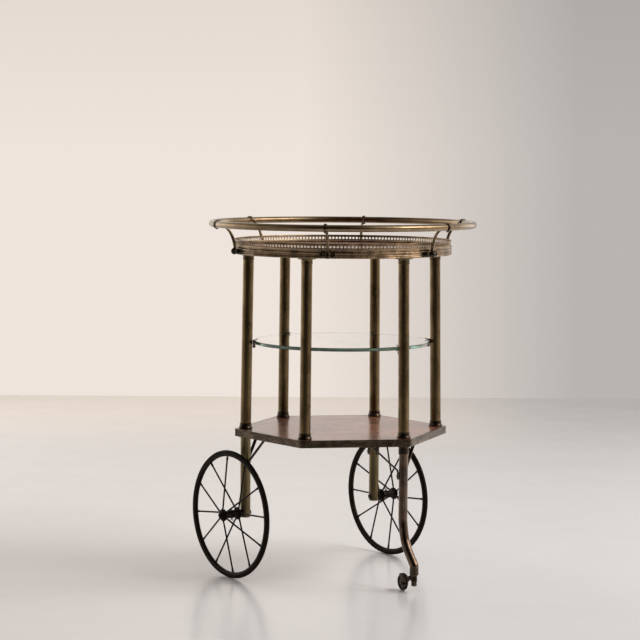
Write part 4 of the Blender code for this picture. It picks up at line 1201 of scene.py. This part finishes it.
class BARCART_OT_legs(bpy.types.Operator):
    """Models the two straight back legs with their flanges"""

    bl_idname = "bar_cart.legs"
    bl_label = "Back legs"

    def execute(self, context):
        top, low = DECK_LOW - GAP, WHEEL_RADIUS - 0.0110
        tube = turned("leg", [
            (LEG_RADIUS, top),
            *profile(LEG_RADIUS, low, (0, 6.8), (-0.5, 6.4), (-0.5, 5.8), (0, 5.4), (0, 0.8),
                     (-0.8, 0), (-2.0, 0)),
            (LEG_RADIUS - 0.0020, top),
        ])
        flange = turned("leg_flange", [
            *profile(0.0165, top, (0, 0), (0, -2.2), (-0.8, -3.0)),
            *profile(LEG_RADIUS + GAP, top, (0, -3.0), (0, 0)),
        ])
        for place, side in (("back_left", -1), ("back_right", 1)):
            at = moved(side * LEG_X, LEG_Y, 0)
            piece = copied(tube, f"leg_{place}_tube", at)
            done(piece, "cart_frame", [f"leg_{place}"], "brass_tube", "leg")
            piece = copied(flange, f"leg_{place}_flange", at)
            done(piece, "cart_frame", [f"leg_flange_{place}"], "cast_brass", "cast")
        scrap(tube)
        scrap(flange)
        return {"FINISHED"}


class BARCART_OT_front_leg(bpy.types.Operator):
    """Models the bent front leg, its grooved collar and the caster's socket"""

    bl_idname = "bar_cart.front_leg"
    bl_label = "Front leg"

    def execute(self, context):
        top = DECK_LOW - GAP
        bend, kick = 0.1680, PIN_CIRCLE - COLUMN_CIRCLE
        socket_top, socket_low = 0.0602, 0.0412
        fall = bend - socket_top - GAP
        points = [
            (COLUMN_CIRCLE + out * kick, bend - down * fall)
            for out, down in (
                (0.0, 0.0), (0.05, 0.17), (0.12, 0.33), (0.24, 0.49), (0.41, 0.63), (0.64, 0.77),
                (1.0, 0.965), (1.0, 1.0),
            )
        ]
        curve = smooth_path([(COLUMN_CIRCLE, bend + 0.03), *points[:-1]], 6)
        path = [(COLUMN_CIRCLE, top), (COLUMN_CIRCLE, (top + bend) / 2), *curve, points[-1]]
        tube = swept("leg_front_tube", path, 2 * FRONT_LEG_RADIUS, 2 * FRONT_LEG_RADIUS, TUBE_SIDES)
        settle(tube, turn_z(-90))
        soften(tube, 0.0006, math.radians(60))
        done(tube, "cart_frame", ["leg_front"], "brass_tube", "front_leg")

        inner = (FRONT_LEG_RADIUS + GAP) / math.cos(math.pi / 12)
        outer, tall = inner + 0.0009, 0.0170
        head = top - 0.0030
        outline = profile(outer, head, (-0.3, 0), (0, -0.4))
        for groove in (1, 2):
            outline += profile(
                outer, head - tall * groove / 3, (0, 1.2), (-0.6, 0.6), (-0.6, -0.6), (0, -1.2),
            )
        outline += profile(outer, head - tall, (0, 0.4), (-0.3, 0), (-0.9, 0)) + [(inner, head)]
        collar = settle(turned("leg_front_collar", outline), moved(0, -COLUMN_CIRCLE, 0))
        done(collar, "cart_frame", ["leg_collar_front"], "cast_brass", "black")

        wide, bore = 0.0105, 0.0045
        socket = settle(turned("caster_socket_ring", [
            *profile(wide, socket_top, (-0.4, 0), (0, -0.4)),
            *profile(wide, socket_low, (0, 3.0), (-0.4, 2.6), (-0.4, 2.0), (0, 1.6), (-0.6, 0)),
            (bore, socket_low), (bore, socket_top),
        ]), moved(0, -PIN_CIRCLE, 0))
        done(socket, "cart_frame", ["caster_socket"], "cast_brass", "black")
        return {"FINISHED"}


class BARCART_OT_braces(bpy.types.Operator):
    """Models the two braces of each leg with their screws"""

    bl_idname = "bar_cart.braces"
    bl_label = "Braces"

    def execute(self, context):
        half, width = 0.00225, 0.0085
        low = DECK_LOW - 0.0800
        high = DECK_LOW - GAP - half
        for leg, radius, angles in (
            ("front", FRONT_LEG_RADIUS, (30, 150)),
            ("back_right", LEG_RADIUS, (150, -90)),
            ("back_left", LEG_RADIUS, (30, -90)),
        ):
            tab = radius + GAP + half
            bar = swept("brace", [
                *profile(tab, low, (0, 0), (0, 15.0)),
                *smooth_path(profile(tab, low, (0, 16.0), (1.2, 21.2), (3.0, 23.0)), 4),
                *smooth_path(profile(tab, high, (57.0, -4.0), (60.5, -0.7), (65.0, 0)), 4),
                (tab + 0.0750, high),
            ], 2 * half, width)
            screw = turned(
                "brace_screw", profile(0, 0, (0, 1.4), (1.2, 1.3), (2.3, 0.8), (2.8, 0), (0, 0)),
                SMALL_SIDES,
            )
            place = moved(tab + half - 0.0001, 0, low + 0.0075)
            settle(screw, place @ turn_about("Y", 90))
            bar = joined("brace", [bar, screw])
            foot = turn_z(CORNERS[leg]) @ Vector((COLUMN_CIRCLE, 0, 0))
            for letter, angle in zip("ab", angles):
                piece = copied(
                    bar, f"leg_brace_{leg}_{letter}_bar", Matrix.Translation(foot) @ turn_z(angle)
                )
                done(piece, "cart_frame", [f"leg_brace_{leg}_{letter}"], "dark_brass", "black")
            scrap(bar)
        return {"FINISHED"}


class BARCART_OT_wheels(bpy.types.Operator):
    """Models the two spoked wheels with their tyres, rims, hubs and spokes"""

    bl_idname = "bar_cart.wheels"
    bl_label = "Wheels"

    def execute(self, context):
        sizes = context.scene.bar_cart_sizes
        bottom = WHEEL_RADIUS - 0.0090 - GAP - 0.0057
        # Each wheel's first spoke stands at its own angle
        for side, sign, first in (("left", -1, 35), ("right", 1, 27.5)):
            body = f"{side}_wheel"
            place = wheel_place(sign)
            tyre = turned(f"tyre_{side}_rubber", both_ways(profile(
                WHEEL_RADIUS, 0, (-9.0, 4.9), (-7.8, 5.5), (-4.5, 5.5), (-3.0, 4.84),
                (-1.4, 3.52), (-0.4, 1.87),
            ), (WHEEL_RADIUS, 0)), RING_SIDES)
            settle(tyre, place)
            done(tyre, body, [f"tyre_{side}"], "tyre_rubber", "rubber")

            rim = turned(f"rim_{side}_channel", both_ways(profile(
                bottom, 0, (5.7, -5.0), (4.7, -5.0), (2.6, -5.0), (1.2, -4.0), (0.3, -2.25),
            ), (bottom, 0)), RING_SIDES)
            settle(rim, place)
            done(rim, body, [f"rim_{side}"], "black_enamel", "enamel")

            hub = joined(f"hub_{side}_and_spokes", hub_with_spokes(first, bottom - GAP, sizes))
            settle(hub, place)
            done(hub, body, [f"hub_and_spokes_{side}"], "black_enamel", "enamel")
        return {"FINISHED"}


def wheel_place(sign):
    """From a wheel's own axes, with Z outward along its axle, to its place on the cart."""
    return moved(sign * WHEEL_PLANE, LEG_Y, WHEEL_RADIUS) @ turn_about("Y", sign * 90)


def hub_with_spokes(first, rim, sizes):
    """A barrel hub with two flanges, and twelve spokes laced to them in turn."""
    barrel, flange, bore, at = 0.0094, 0.0155, 0.0050, 0.0213
    pieces = [turned("hub", both_ways([
        (bore, HUB_HALF),
        *profile(barrel, HUB_HALF, (-0.6, 0), (0.6, -0.6), (1.8, -2.0)),
        *profile(barrel, at, (3.4, 3.0)),
        *profile(flange, at, (-1.4, 1.7), (0, 0.6), (0, -0.6), (-1.0, -1.5)),
        *profile(barrel, at, (1.2, -1.9), (0.4, -3.2), (0, -7.0)),
    ]))]
    start = (barrel + flange) / 2
    length = math.hypot(rim - start, at)
    wire = sizes.spoke_wire
    spoke = turned("spoke", [
        (0, 0), *profile(wire, 0, (-0.2, 0.1), (0, 0.4)),
        *profile(wire, length - sizes.nipple_length, (0, 0), (0.5, 0.3), (0.6, 1.0)),
        *profile(wire, length, (0.6, -0.6), (0.6, 0)), (0, length),
    ], WIRE_SIDES)
    head = turned(
        "spoke_head", both_ways(profile(0, 0, (0, 2.4), (1.5, 2.2), (2.2, 1.4))), WIRE_SIDES,
    )
    for index in range(SPOKES):
        side = 1 if index % 2 else -1
        lean = math.degrees(math.atan2(rim - start, -side * at))
        place = turn_z(first + index * 360 / SPOKES) @ moved(start, 0, side * at)
        pieces.append(copied(spoke, "spoke", place @ turn_about("Y", lean)))
        pieces.append(copied(head, "spoke_head", place))
    scrap(spoke)
    scrap(head)
    # The spring clip over the oil hole, with its two wire ends twisted out below the barrel
    clip, clip_sides = 0.0019, 8
    pieces.append(spun("oil_clip", barrel + 0.0009, -0.0040, clip, clip_sides, 32))
    for path in (
        [(-barrel, -0.0050), (-0.0125, -0.0036), (-0.0150, 0.0010), (-0.0158, 0.0042)],
        [(-barrel, -0.0030), (-0.0120, -0.0052), (-0.0160, -0.0080), (-0.0180, -0.0078)],
    ):
        pieces.append(swept("oil_clip_end", smooth_path(path, 4), clip, clip, clip_sides))
    return pieces


class BARCART_OT_axles(bpy.types.Operator):
    """Models the two axles with their shoulders, and the cap nuts on their ends"""

    bl_idname = "bar_cart.axles"
    bl_label = "Axles and nuts"

    def execute(self, context):
        run, shank, shoulder, head = 0.0005, 0.0045, 0.0080, 0.0062
        low = HUB_HALF + run
        end = low + 0.0034
        back = -low - 0.0040
        leg = back - 2 * GAP - 2 * LEG_RADIUS
        shaft = soften(turned("axle", [
            (0, end), (shank - 0.0006, end), (shank, end - 0.0006), (shank, -low),
            (shoulder, -low), (shoulder, back), (shank, back), (shank, leg), (head, leg),
            (head, leg - 0.0012), (0, leg - 0.0012),
        ]), 0.0003)
        nut = cap_nut(low, low + 0.0050, shank + GAP, end + GAP)
        for side, sign in (("left", -1), ("right", 1)):
            place = wheel_place(sign)
            piece = copied(shaft, f"axle_{side}_shaft", place)
            done(piece, "cart_frame", [f"axle_{side}"], "black_enamel", "enamel")
            piece = copied(nut, f"axle_{side}_cap_nut", place)
            done(piece, "cart_frame", [f"axle_nut_{side}"], "black_enamel", "enamel")
        scrap(shaft)
        scrap(nut)
        return {"FINISHED"}


def cap_nut(low, high, bore, depth):
    """A six-sided nut with a domed cap."""
    nut = six_sided("nut", 0.0072, low, low + 0.0026)
    dome = turned("dome", [
        *profile(0, high, (0, 0), (2.6, -0.2), (4.2, -0.7), (5.2, -1.4)),
        *profile(0, low, (5.7, 2.4), (0, 2.4)),
    ])
    nut = joined("nut", [nut, dome])
    hole = turned("hole", [(0, depth), (bore, depth), (bore, low - 0.001), (0, low - 0.001)])
    cut_out(nut, hole, use_self=True)
    return nut


class BARCART_OT_caster(bpy.types.Operator):
    """Models the caster: its pin with the nut, the horn over its wheel, the wheel and the axle"""

    bl_idname = "bar_cart.caster"
    bl_label = "Caster"

    def execute(self, context):
        pin_place = moved(0, -PIN_CIRCLE, 0) @ turn_z(CASTER_TURN)
        axle_place = pin_place @ CASTER_CENTRE @ turn_about("X", -90)
        pin, pin_top, eye_low, eye_top = 0.0042, 0.0599, 0.0262, 0.0407
        nut_top, nut_low = eye_low - 0.0005, 0.0150

        stem = turned("pin", [
            *profile(0, pin_top, (0, 0)), *profile(pin, pin_top, (-0.4, 0), (0, -0.4)),
            (pin, nut_top - 0.0002), (0, nut_top - 0.0002),
        ], SMALL_SIDES)
        nut = six_sided("pin_nut", 0.0073, nut_low + 0.0012, nut_top)
        end = turned(
            "pin_end", profile(0, nut_low, (0, 0), (4.6, 0), (5.6, 0.5), (6.0, 1.3), (0, 1.3)),
            SMALL_SIDES,
        )
        piece = settle(joined("caster_pin_and_nut", [stem, nut, end]), pin_place)
        done(piece, "cart_frame", ["caster_pin"], "dark_brass", "black")

        piece = settle(horn(eye_low, eye_top, pin + 0.0005), pin_place)
        done(piece, "caster_fork", ["caster_horn"], "dark_brass", "black")

        axle = turned("caster_axle_rivet", both_ways(profile(
            0, CHEEK_OUTSIDE + GAP, (0, 1.2), (1.6, 1.1), (2.9, 0.7), (3.6, 0.1), (3.6, 0),
            (2.0, 0),
        )), SMALL_SIDES)
        settle(axle, axle_place)
        done(axle, "caster_fork", ["caster_axle"], "dark_brass", "black")

        wheel = settle(caster_disc(), axle_place)
        done(wheel, "caster_wheel", ["caster_wheel"], "black_enamel", "enamel")
        return {"FINISHED"}


def six_sided(name, corner, low, high):
    """A six-sided nut blank with worn edges."""
    deselect()
    bpy.ops.mesh.primitive_circle_add(
        vertices=6, radius=corner, location=(0, 0, low), fill_type="NGON"
    )
    nut = added(name)
    edit_all("FACE")
    bpy.ops.mesh.extrude_region_move(TRANSFORM_OT_translate={"value": (0, 0, high - low)})
    return soften(close_up(nut), 0.0005, math.radians(50))


def horn(eye_low, eye_top, bore):
    """The caster's horn: an eye round the pin, a broad arm, and a hood with cheeks on the wheel."""
    crown, hood, boss, start, end = 0.0219, 0.0202, 0.0023, 66, 168
    outside, inside = CHEEK_OUTSIDE, CHEEK_INSIDE
    section = drawn("hood", both_ways([
        (boss, outside), *profile(crown, outside, (-2.6, 0), (-0.8, -0.7), (0, -2.4)),
    ]) + both_ways([(boss, -inside), (hood, -inside)]))
    bpy.ops.transform.rotate(
        value=-math.radians(start), orient_axis="Z", orient_type="GLOBAL",
        center_override=(0, 0, 0),
    )
    bpy.ops.mesh.spin(steps=24, angle=math.radians(start - end), center=(0, 0, 0), axis=(0, 0, 1))
    pieces = [soften(close_up(section), 0.0004)]
    for side in (-1, 1):
        pieces.append(turned("boss", [(radius, side * out) for radius, out in (
            (0.0052, inside), (0.0056, inside + 0.0004), (0.0056, outside - 0.0004),
            (0.0052, outside), (boss, outside), (boss, inside),
        )], SMALL_SIDES * 2))
    hood_piece = joined("hood", pieces)
    settle(hood_piece, CASTER_CENTRE @ turn_about("X", 90))
    eye = 0.0078
    ring = turned("eye", [
        (bore, eye_top),
        *profile(eye, eye_top, (-0.8, 0), (-0.2, -0.6), (-0.2, -2.2), (-0.6, -3.0)),
        *profile(eye, eye_low, (-0.6, 3.0), (0, 2.2), (0, 0.6), (-0.6, 0)),
        (bore, eye_low),
    ])
    lean = math.radians(150)
    out, up = math.cos(lean), math.sin(lean)
    meet = (CASTER_TRAIL + crown * out, CASTER_WHEEL + crown * up)
    run = math.hypot(meet[0], CASTER_OFFSET)
    # The arm bends down square onto the hood and ends inside its sheet
    path = smooth_path([
        (0.0030, eye_top - 0.0070), (0.0080, eye_top - 0.0068),
        (run + 0.0036 * out, meet[1] + 0.0036 * up), (run - 0.0009 * out, meet[1] - 0.0009 * up),
    ], 5)
    shares = [1.0 - 0.28 * index / (len(path) - 1) for index in range(len(path))]
    arm = swept("arm", path, 0.0126, 0.0074, BAR_SIDES, shares)
    settle(arm, turn_z(math.degrees(math.atan2(CASTER_OFFSET, meet[0]))))
    return joined("caster_horn_and_hood", [ring, hood_piece, arm])


def caster_disc():
    """The caster's wheel: a rounded tread, a thin web with five holes and a hub."""
    hub, web, bore, holes, hole = 0.0062, 0.0016, 0.0025, 5, 0.0029
    tread = CASTER_WHEEL - 0.0037
    disc = turned("caster_disc", both_ways([
        (bore, CASTER_HALF),
        *profile(hub, CASTER_HALF, (-0.6, 0), (0, -0.6)),
        *profile(hub, web, (0.3, 0.4), (0.8, 0)),
        *profile(tread, web, (-0.8, 0), (-0.2, 0.5)),
        *profile(tread, CASTER_HALF, (0, -0.4), (0.4, 0)),
        *profile(CASTER_WHEEL, CASTER_HALF, (-1.4, 0), (-0.5, -0.6), (-0.1, -1.6)),
        (CASTER_WHEEL, 0.0006),
    ]), RING_SIDES // 2)
    for index in range(holes):
        deselect()
        bpy.ops.mesh.primitive_cylinder_add(vertices=BALL_SIDES, radius=hole, depth=0.01)
        place = turn_z(index * 360 / holes) @ moved((hub + tread) / 2, 0, 0)
        cut_out(disc, settle(added("drill"), place))
    return disc


class BARCART_OT_stage(bpy.types.Operator):
    """Sets the pale floor and backdrop, the soft lamps and the camera"""

    bl_idname = "bar_cart.stage"
    bl_label = "Stage"

    def execute(self, context):
        stage = context.scene.bar_cart_stage
        place = camera_place()
        lay_floor(stage, place)
        light_world(context.scene, stage, place)
        hang_lamps(place)
        camera = bpy.data.cameras.new("camera")
        camera.lens = stage.lens
        camera.sensor_width = 36
        holder = stand("camera", camera)
        holder.matrix_world = place
        context.scene.camera = holder
        context.scene.view_settings.view_transform = "Standard"
        return {"FINISHED"}


def stand(name, data):
    """A camera or a lamp as an object of the scene."""
    holder = bpy.data.objects.new(name, data)
    bpy.context.scene.collection.objects.link(holder)
    return holder


def camera_place():
    """Where the camera stands: 4.93 m away and 1.02 m high, looking slightly down."""
    away, high = 4.93, 1.0236
    azimuth, yaw, pitch, roll = (math.radians(a) for a in (-38.8979, -0.6195, 4.661, 0.3774))
    back = Vector((math.sin(azimuth), -math.cos(azimuth), 0))
    ahead, right, up = -back, Vector((math.cos(azimuth), math.sin(azimuth), 0)), Vector((0, 0, 1))
    ahead, right = swung(ahead, right, yaw)
    ahead, up = swung(ahead, up, -pitch)
    right, up = swung(right, up, roll)
    turn = Matrix((right, up, -ahead)).transposed().to_4x4()
    return Matrix.Translation(back * away + Vector((0, 0, high))) @ turn


def swung(first, second, angle):
    """Two directions at right angles, the first swung towards the second by an angle."""
    return (
        first * math.cos(angle) + second * math.sin(angle),
        second * math.cos(angle) - first * math.sin(angle),
    )


def lay_floor(stage, place):
    """The pale floor, square to the camera, so that its far edge is the level horizon."""
    width, length = 14.0, 7.24
    right = place.to_3x3() @ Vector((1, 0, 0))
    turn = math.atan2(right.y, right.x)
    deselect()
    bpy.ops.mesh.primitive_plane_add(size=1, location=(0, 0, 0), rotation=(0, 0, turn))
    floor = added("floor", (width, length, 1))
    finish, tree, shader, coords = blank("pale painted floor")
    # Trowel marks in the sealed floor, about 0.4 m long
    mottle = add_node(tree, "ShaderNodeTexNoise", {
        "Vector": coords, "Scale": 2.5, "Detail": 6.0, "Roughness": 0.6,
    })
    colour = add_node(
        tree, "ShaderNodeMix", {0: mottle, 6: stage.floor_mottle_and_painted_shade, 7: stage.floor},
        data_type="RGBA",
    )
    # Painted light and shade: slightly darker near the camera at the right, darker far off at the
    # right, and pale and warm far off at the left
    squared = add_node(
        tree, "ShaderNodeVectorRotate", {"Vector": coords, "Angle": -turn},
        rotation_type="Z_AXIS",
    )
    parts = add_node(tree, "ShaderNodeSeparateXYZ", {"Vector": squared}).outputs
    near = layered(tree, colour, stage.floor_near_painted_shade, parts["X"], 0.05, 0.95)
    far = layered(tree, stage.floor_far_left_painted_light, stage.floor_mottle_and_painted_shade, parts["X"], 0.05, 0.95)
    shaded = layered(tree, near, far, parts["Y"], 1.9, 3.4)
    roughness = add_node(tree, "ShaderNodeMapRange", {
        "Value": mottle, "From Min": 0.3, "From Max": 0.7, "To Min": 0.20, "To Max": 0.26,
    })
    feed(tree, shader, {
        "Base Color": shaded, "Roughness": 0.6, "Coat Weight": 1.0, "Coat Roughness": roughness,
    })
    floor.data.materials.append(finish)


def light_world(scene, stage, place):
    """The backdrop that the camera, metal and glass see, and an even light for all else."""
    world = bpy.data.worlds.new("studio")
    scene.world = world
    world.use_nodes = True
    tree = world.node_tree
    tree.nodes.clear()
    way = add_node(tree, "ShaderNodeTexCoord").outputs["Generated"]
    path = add_node(tree, "ShaderNodeLightPath").outputs
    camera_ray = path["Is Camera Ray"]

    # The studio is darkest behind the camera, a little to its left. A wide softbox hangs at the
    # right, 30 degrees up, and rounded metal mirrors it along its upper side
    turn = place.to_3x3()
    right, ahead = turn @ Vector((1, 0, 0)), turn @ Vector((0, 0, -1))
    dark = Matrix.Rotation(math.radians(-12), 3, "Z") @ -ahead
    back = Vector((-ahead.x, -ahead.y, 0)).normalized()
    level = Matrix.Rotation(math.radians(75), 3, "Z") @ back
    lifted = swung(level, Vector((0, 0, 1)), math.radians(30))[0]
    aside, onward, upward = (
        add_node(tree, "ShaderNodeVectorMath", {0: way, 1: axis}, operation="DOT_PRODUCT")
        for axis in (right, dark, lifted)
    )
    rise = add_node(tree, "ShaderNodeSeparateXYZ", {"Vector": way}).outputs["Z"]

    parts = {"camera": camera_ray, "through": path["Is Transmission Ray"],
             "glossy": path["Is Glossy Ray"]}
    for name, source, start, end, low, high, kind in (
        # Along the backdrop from its warm to its cool side, and up to its slightly darker top
        ("share", aside, -0.008, 0.125, 0.0, 1.0, "LINEAR"),
        ("shade", rise, 0.0, 0.09, 1.0, 0.88, "LINEAR"),
        # How bright the studio's walls are, from their darkest side round, and its dark ceiling
        ("level", onward, 0.95, -0.45, 0.02, 1.15, "LINEAR"),
        ("sideways", aside, -0.40, -0.80, 1.0, 1.9, "SMOOTHSTEP"),
        ("ceiling", rise, 0.20, 0.60, 1.0, 0.30, "SMOOTHSTEP"),
        # The softbox, the lamp in its middle that draws the rail's narrow gleam, and its low edge
        ("softbox", upward, 0.60, 0.97, 0.0, 1.4, "SMOOTHSTEP"),
        ("gleam", upward, 0.92, 0.985, 0.0, 7.0, "SMOOTHSTEP"),
        ("above", rise, 0.26, 0.46, 0.0, 1.0, "SMOOTHSTEP"),
        # Where the backdrop stands, and the bright studio past its right end
        ("beyond", onward, -0.60, -0.85, 0.0, 1.0, "SMOOTHSTEP"),
        ("ended", aside, 0.60, 0.30, 0.0, 1.0, "SMOOTHSTEP"),
        ("clear", aside, 0.30, 0.60, 0.0, 0.8, "SMOOTHSTEP"),
    ):
        parts[name] = add_node(tree, "ShaderNodeMapRange", {
            "Value": source, "From Min": start, "From Max": end, "To Min": low, "To Max": high,
        }, interpolation_type=kind)
    for name, operation, *terms in (
        ("walls", "MULTIPLY", "level", "sideways"),
        ("room", "MULTIPLY", "walls", "ceiling"),
        ("lights", "ADD", "softbox", "gleam"),
        ("lit", "MULTIPLY_ADD", "lights", "above", "room"),
        ("strength", "MULTIPLY_ADD", "clear", "beyond", "lit"),
        ("seen", "MAXIMUM", "camera", "through"),
        ("backed", "MULTIPLY", "beyond", "ended"),
        ("walled", "MAXIMUM", "backed", "seen"),
        ("shown", "MAXIMUM", "seen", "glossy"),
    ):
        parts[name] = add_node(
            tree, "ShaderNodeMath", {index: parts[term] for index, term in enumerate(terms)},
            operation=operation,
        )
    wall = add_node(
        tree, "ShaderNodeMix", {0: parts["share"], 6: stage.warm, 7: stage.cool},
        data_type="RGBA",
    )
    # Metal and glass see the backdrop a little brighter than the camera does
    backdrop = add_node(tree, "ShaderNodeMix", {0: camera_ray, 2: 1.04, 3: parts["shade"]})
    strength = add_node(
        tree, "ShaderNodeMix", {0: parts["walled"], 2: parts["strength"], 3: backdrop},
    )
    colour = add_node(
        tree, "ShaderNodeMix", {0: parts["walled"], 6: stage.room, 7: wall}, data_type="RGBA",
    )
    mirrored = add_node(tree, "ShaderNodeBackground", {"Color": colour, "Strength": strength})
    fill = add_node(
        tree, "ShaderNodeBackground", {"Color": linear("#f4efec"), "Strength": 0.50},
    )
    mixed = add_node(tree, "ShaderNodeMixShader", {0: parts["shown"], 1: fill, 2: mirrored})
    add_node(tree, "ShaderNodeOutputWorld", {"Surface": mixed})


def hang_lamps(place):
    """Soft lamps: a wide one at each side, a small key lamp and a high one at the right."""
    turn = place.to_3x3()
    right, ahead = turn @ Vector((1, 0, 0)), turn @ Vector((0, 0, -1))
    right.z = ahead.z = 0
    aim = Vector((0, 0, 0.45))
    for name, across, onward, height, width, tall, power in (
        ("left_lamp", -2.6, 2.0, 1.6, 2.0, 2.4, 42.0),
        ("right_lamp", 2.6, 1.2, 1.6, 2.0, 2.4, 34.0),
        ("key_lamp", 2.0, -1.05, 2.65, 0.4, 0.4, 26.0),
        ("top_lamp", 2.40, -0.15, 2.8, 1.1, 1.1, 60.0),
    ):
        lamp = bpy.data.lights.new(name, "AREA")
        lamp.shape = "RECTANGLE"
        lamp.size = width
        lamp.size_y = tall
        lamp.energy = power
        holder = stand(name, lamp)
        # The world draws the lamps that glossy pieces mirror
        holder.visible_glossy = False
        spot = right * across + ahead * onward + Vector((0, 0, height))
        aimed = (aim - spot).to_track_quat("-Z", "Y").to_matrix().to_4x4()
        holder.matrix_world = Matrix.Translation(spot) @ aimed


class BARCART_PT_panel(bpy.types.Panel):
    """Lists the cart's pieces in the sidebar"""

    bl_idname = "BARCART_PT_panel"
    bl_label = "Bar cart"
    bl_space_type = "VIEW_3D"
    bl_region_type = "UI"
    bl_category = "Bar cart"

    def draw(self, context):
        for name in OPERATORS:
            self.layout.operator(f"bar_cart.{name}")
        for group in ("bar_cart_sizes", "bar_cart_colours", "bar_cart_stage"):
            values = getattr(context.scene, group)
            for field in values.bl_rna.properties.keys():
                if field not in ("rna_type", "name"):
                    self.layout.prop(values, field)


OPERATORS = (
    "deck", "columns", "shelf", "tray", "rail", "brackets", "legs", "front_leg", "braces",
    "wheels", "axles", "caster", "stage",
)
CLASSES = (
    BarCartSizes, BarCartColours, BarCartStage,
    BARCART_OT_deck, BARCART_OT_columns, BARCART_OT_shelf, BARCART_OT_tray, BARCART_OT_rail,
    BARCART_OT_brackets, BARCART_OT_legs, BARCART_OT_front_leg, BARCART_OT_braces,
    BARCART_OT_wheels, BARCART_OT_axles, BARCART_OT_caster, BARCART_OT_stage,
    BARCART_PT_panel,
)


def register():
    for made in CLASSES:
        bpy.utils.register_class(made)
    bpy.types.Scene.bar_cart_sizes = bpy.props.PointerProperty(type=BarCartSizes)
    bpy.types.Scene.bar_cart_colours = bpy.props.PointerProperty(type=BarCartColours)
    bpy.types.Scene.bar_cart_stage = bpy.props.PointerProperty(type=BarCartStage)


def unregister():
    del bpy.types.Scene.bar_cart_stage
    del bpy.types.Scene.bar_cart_colours
    del bpy.types.Scene.bar_cart_sizes
    for made in reversed(CLASSES):
        bpy.utils.unregister_class(made)


def main():
    """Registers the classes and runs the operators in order."""
    register()
    for name in OPERATORS:
        getattr(bpy.ops.bar_cart, name)()


if __name__ == "__main__":
    main()
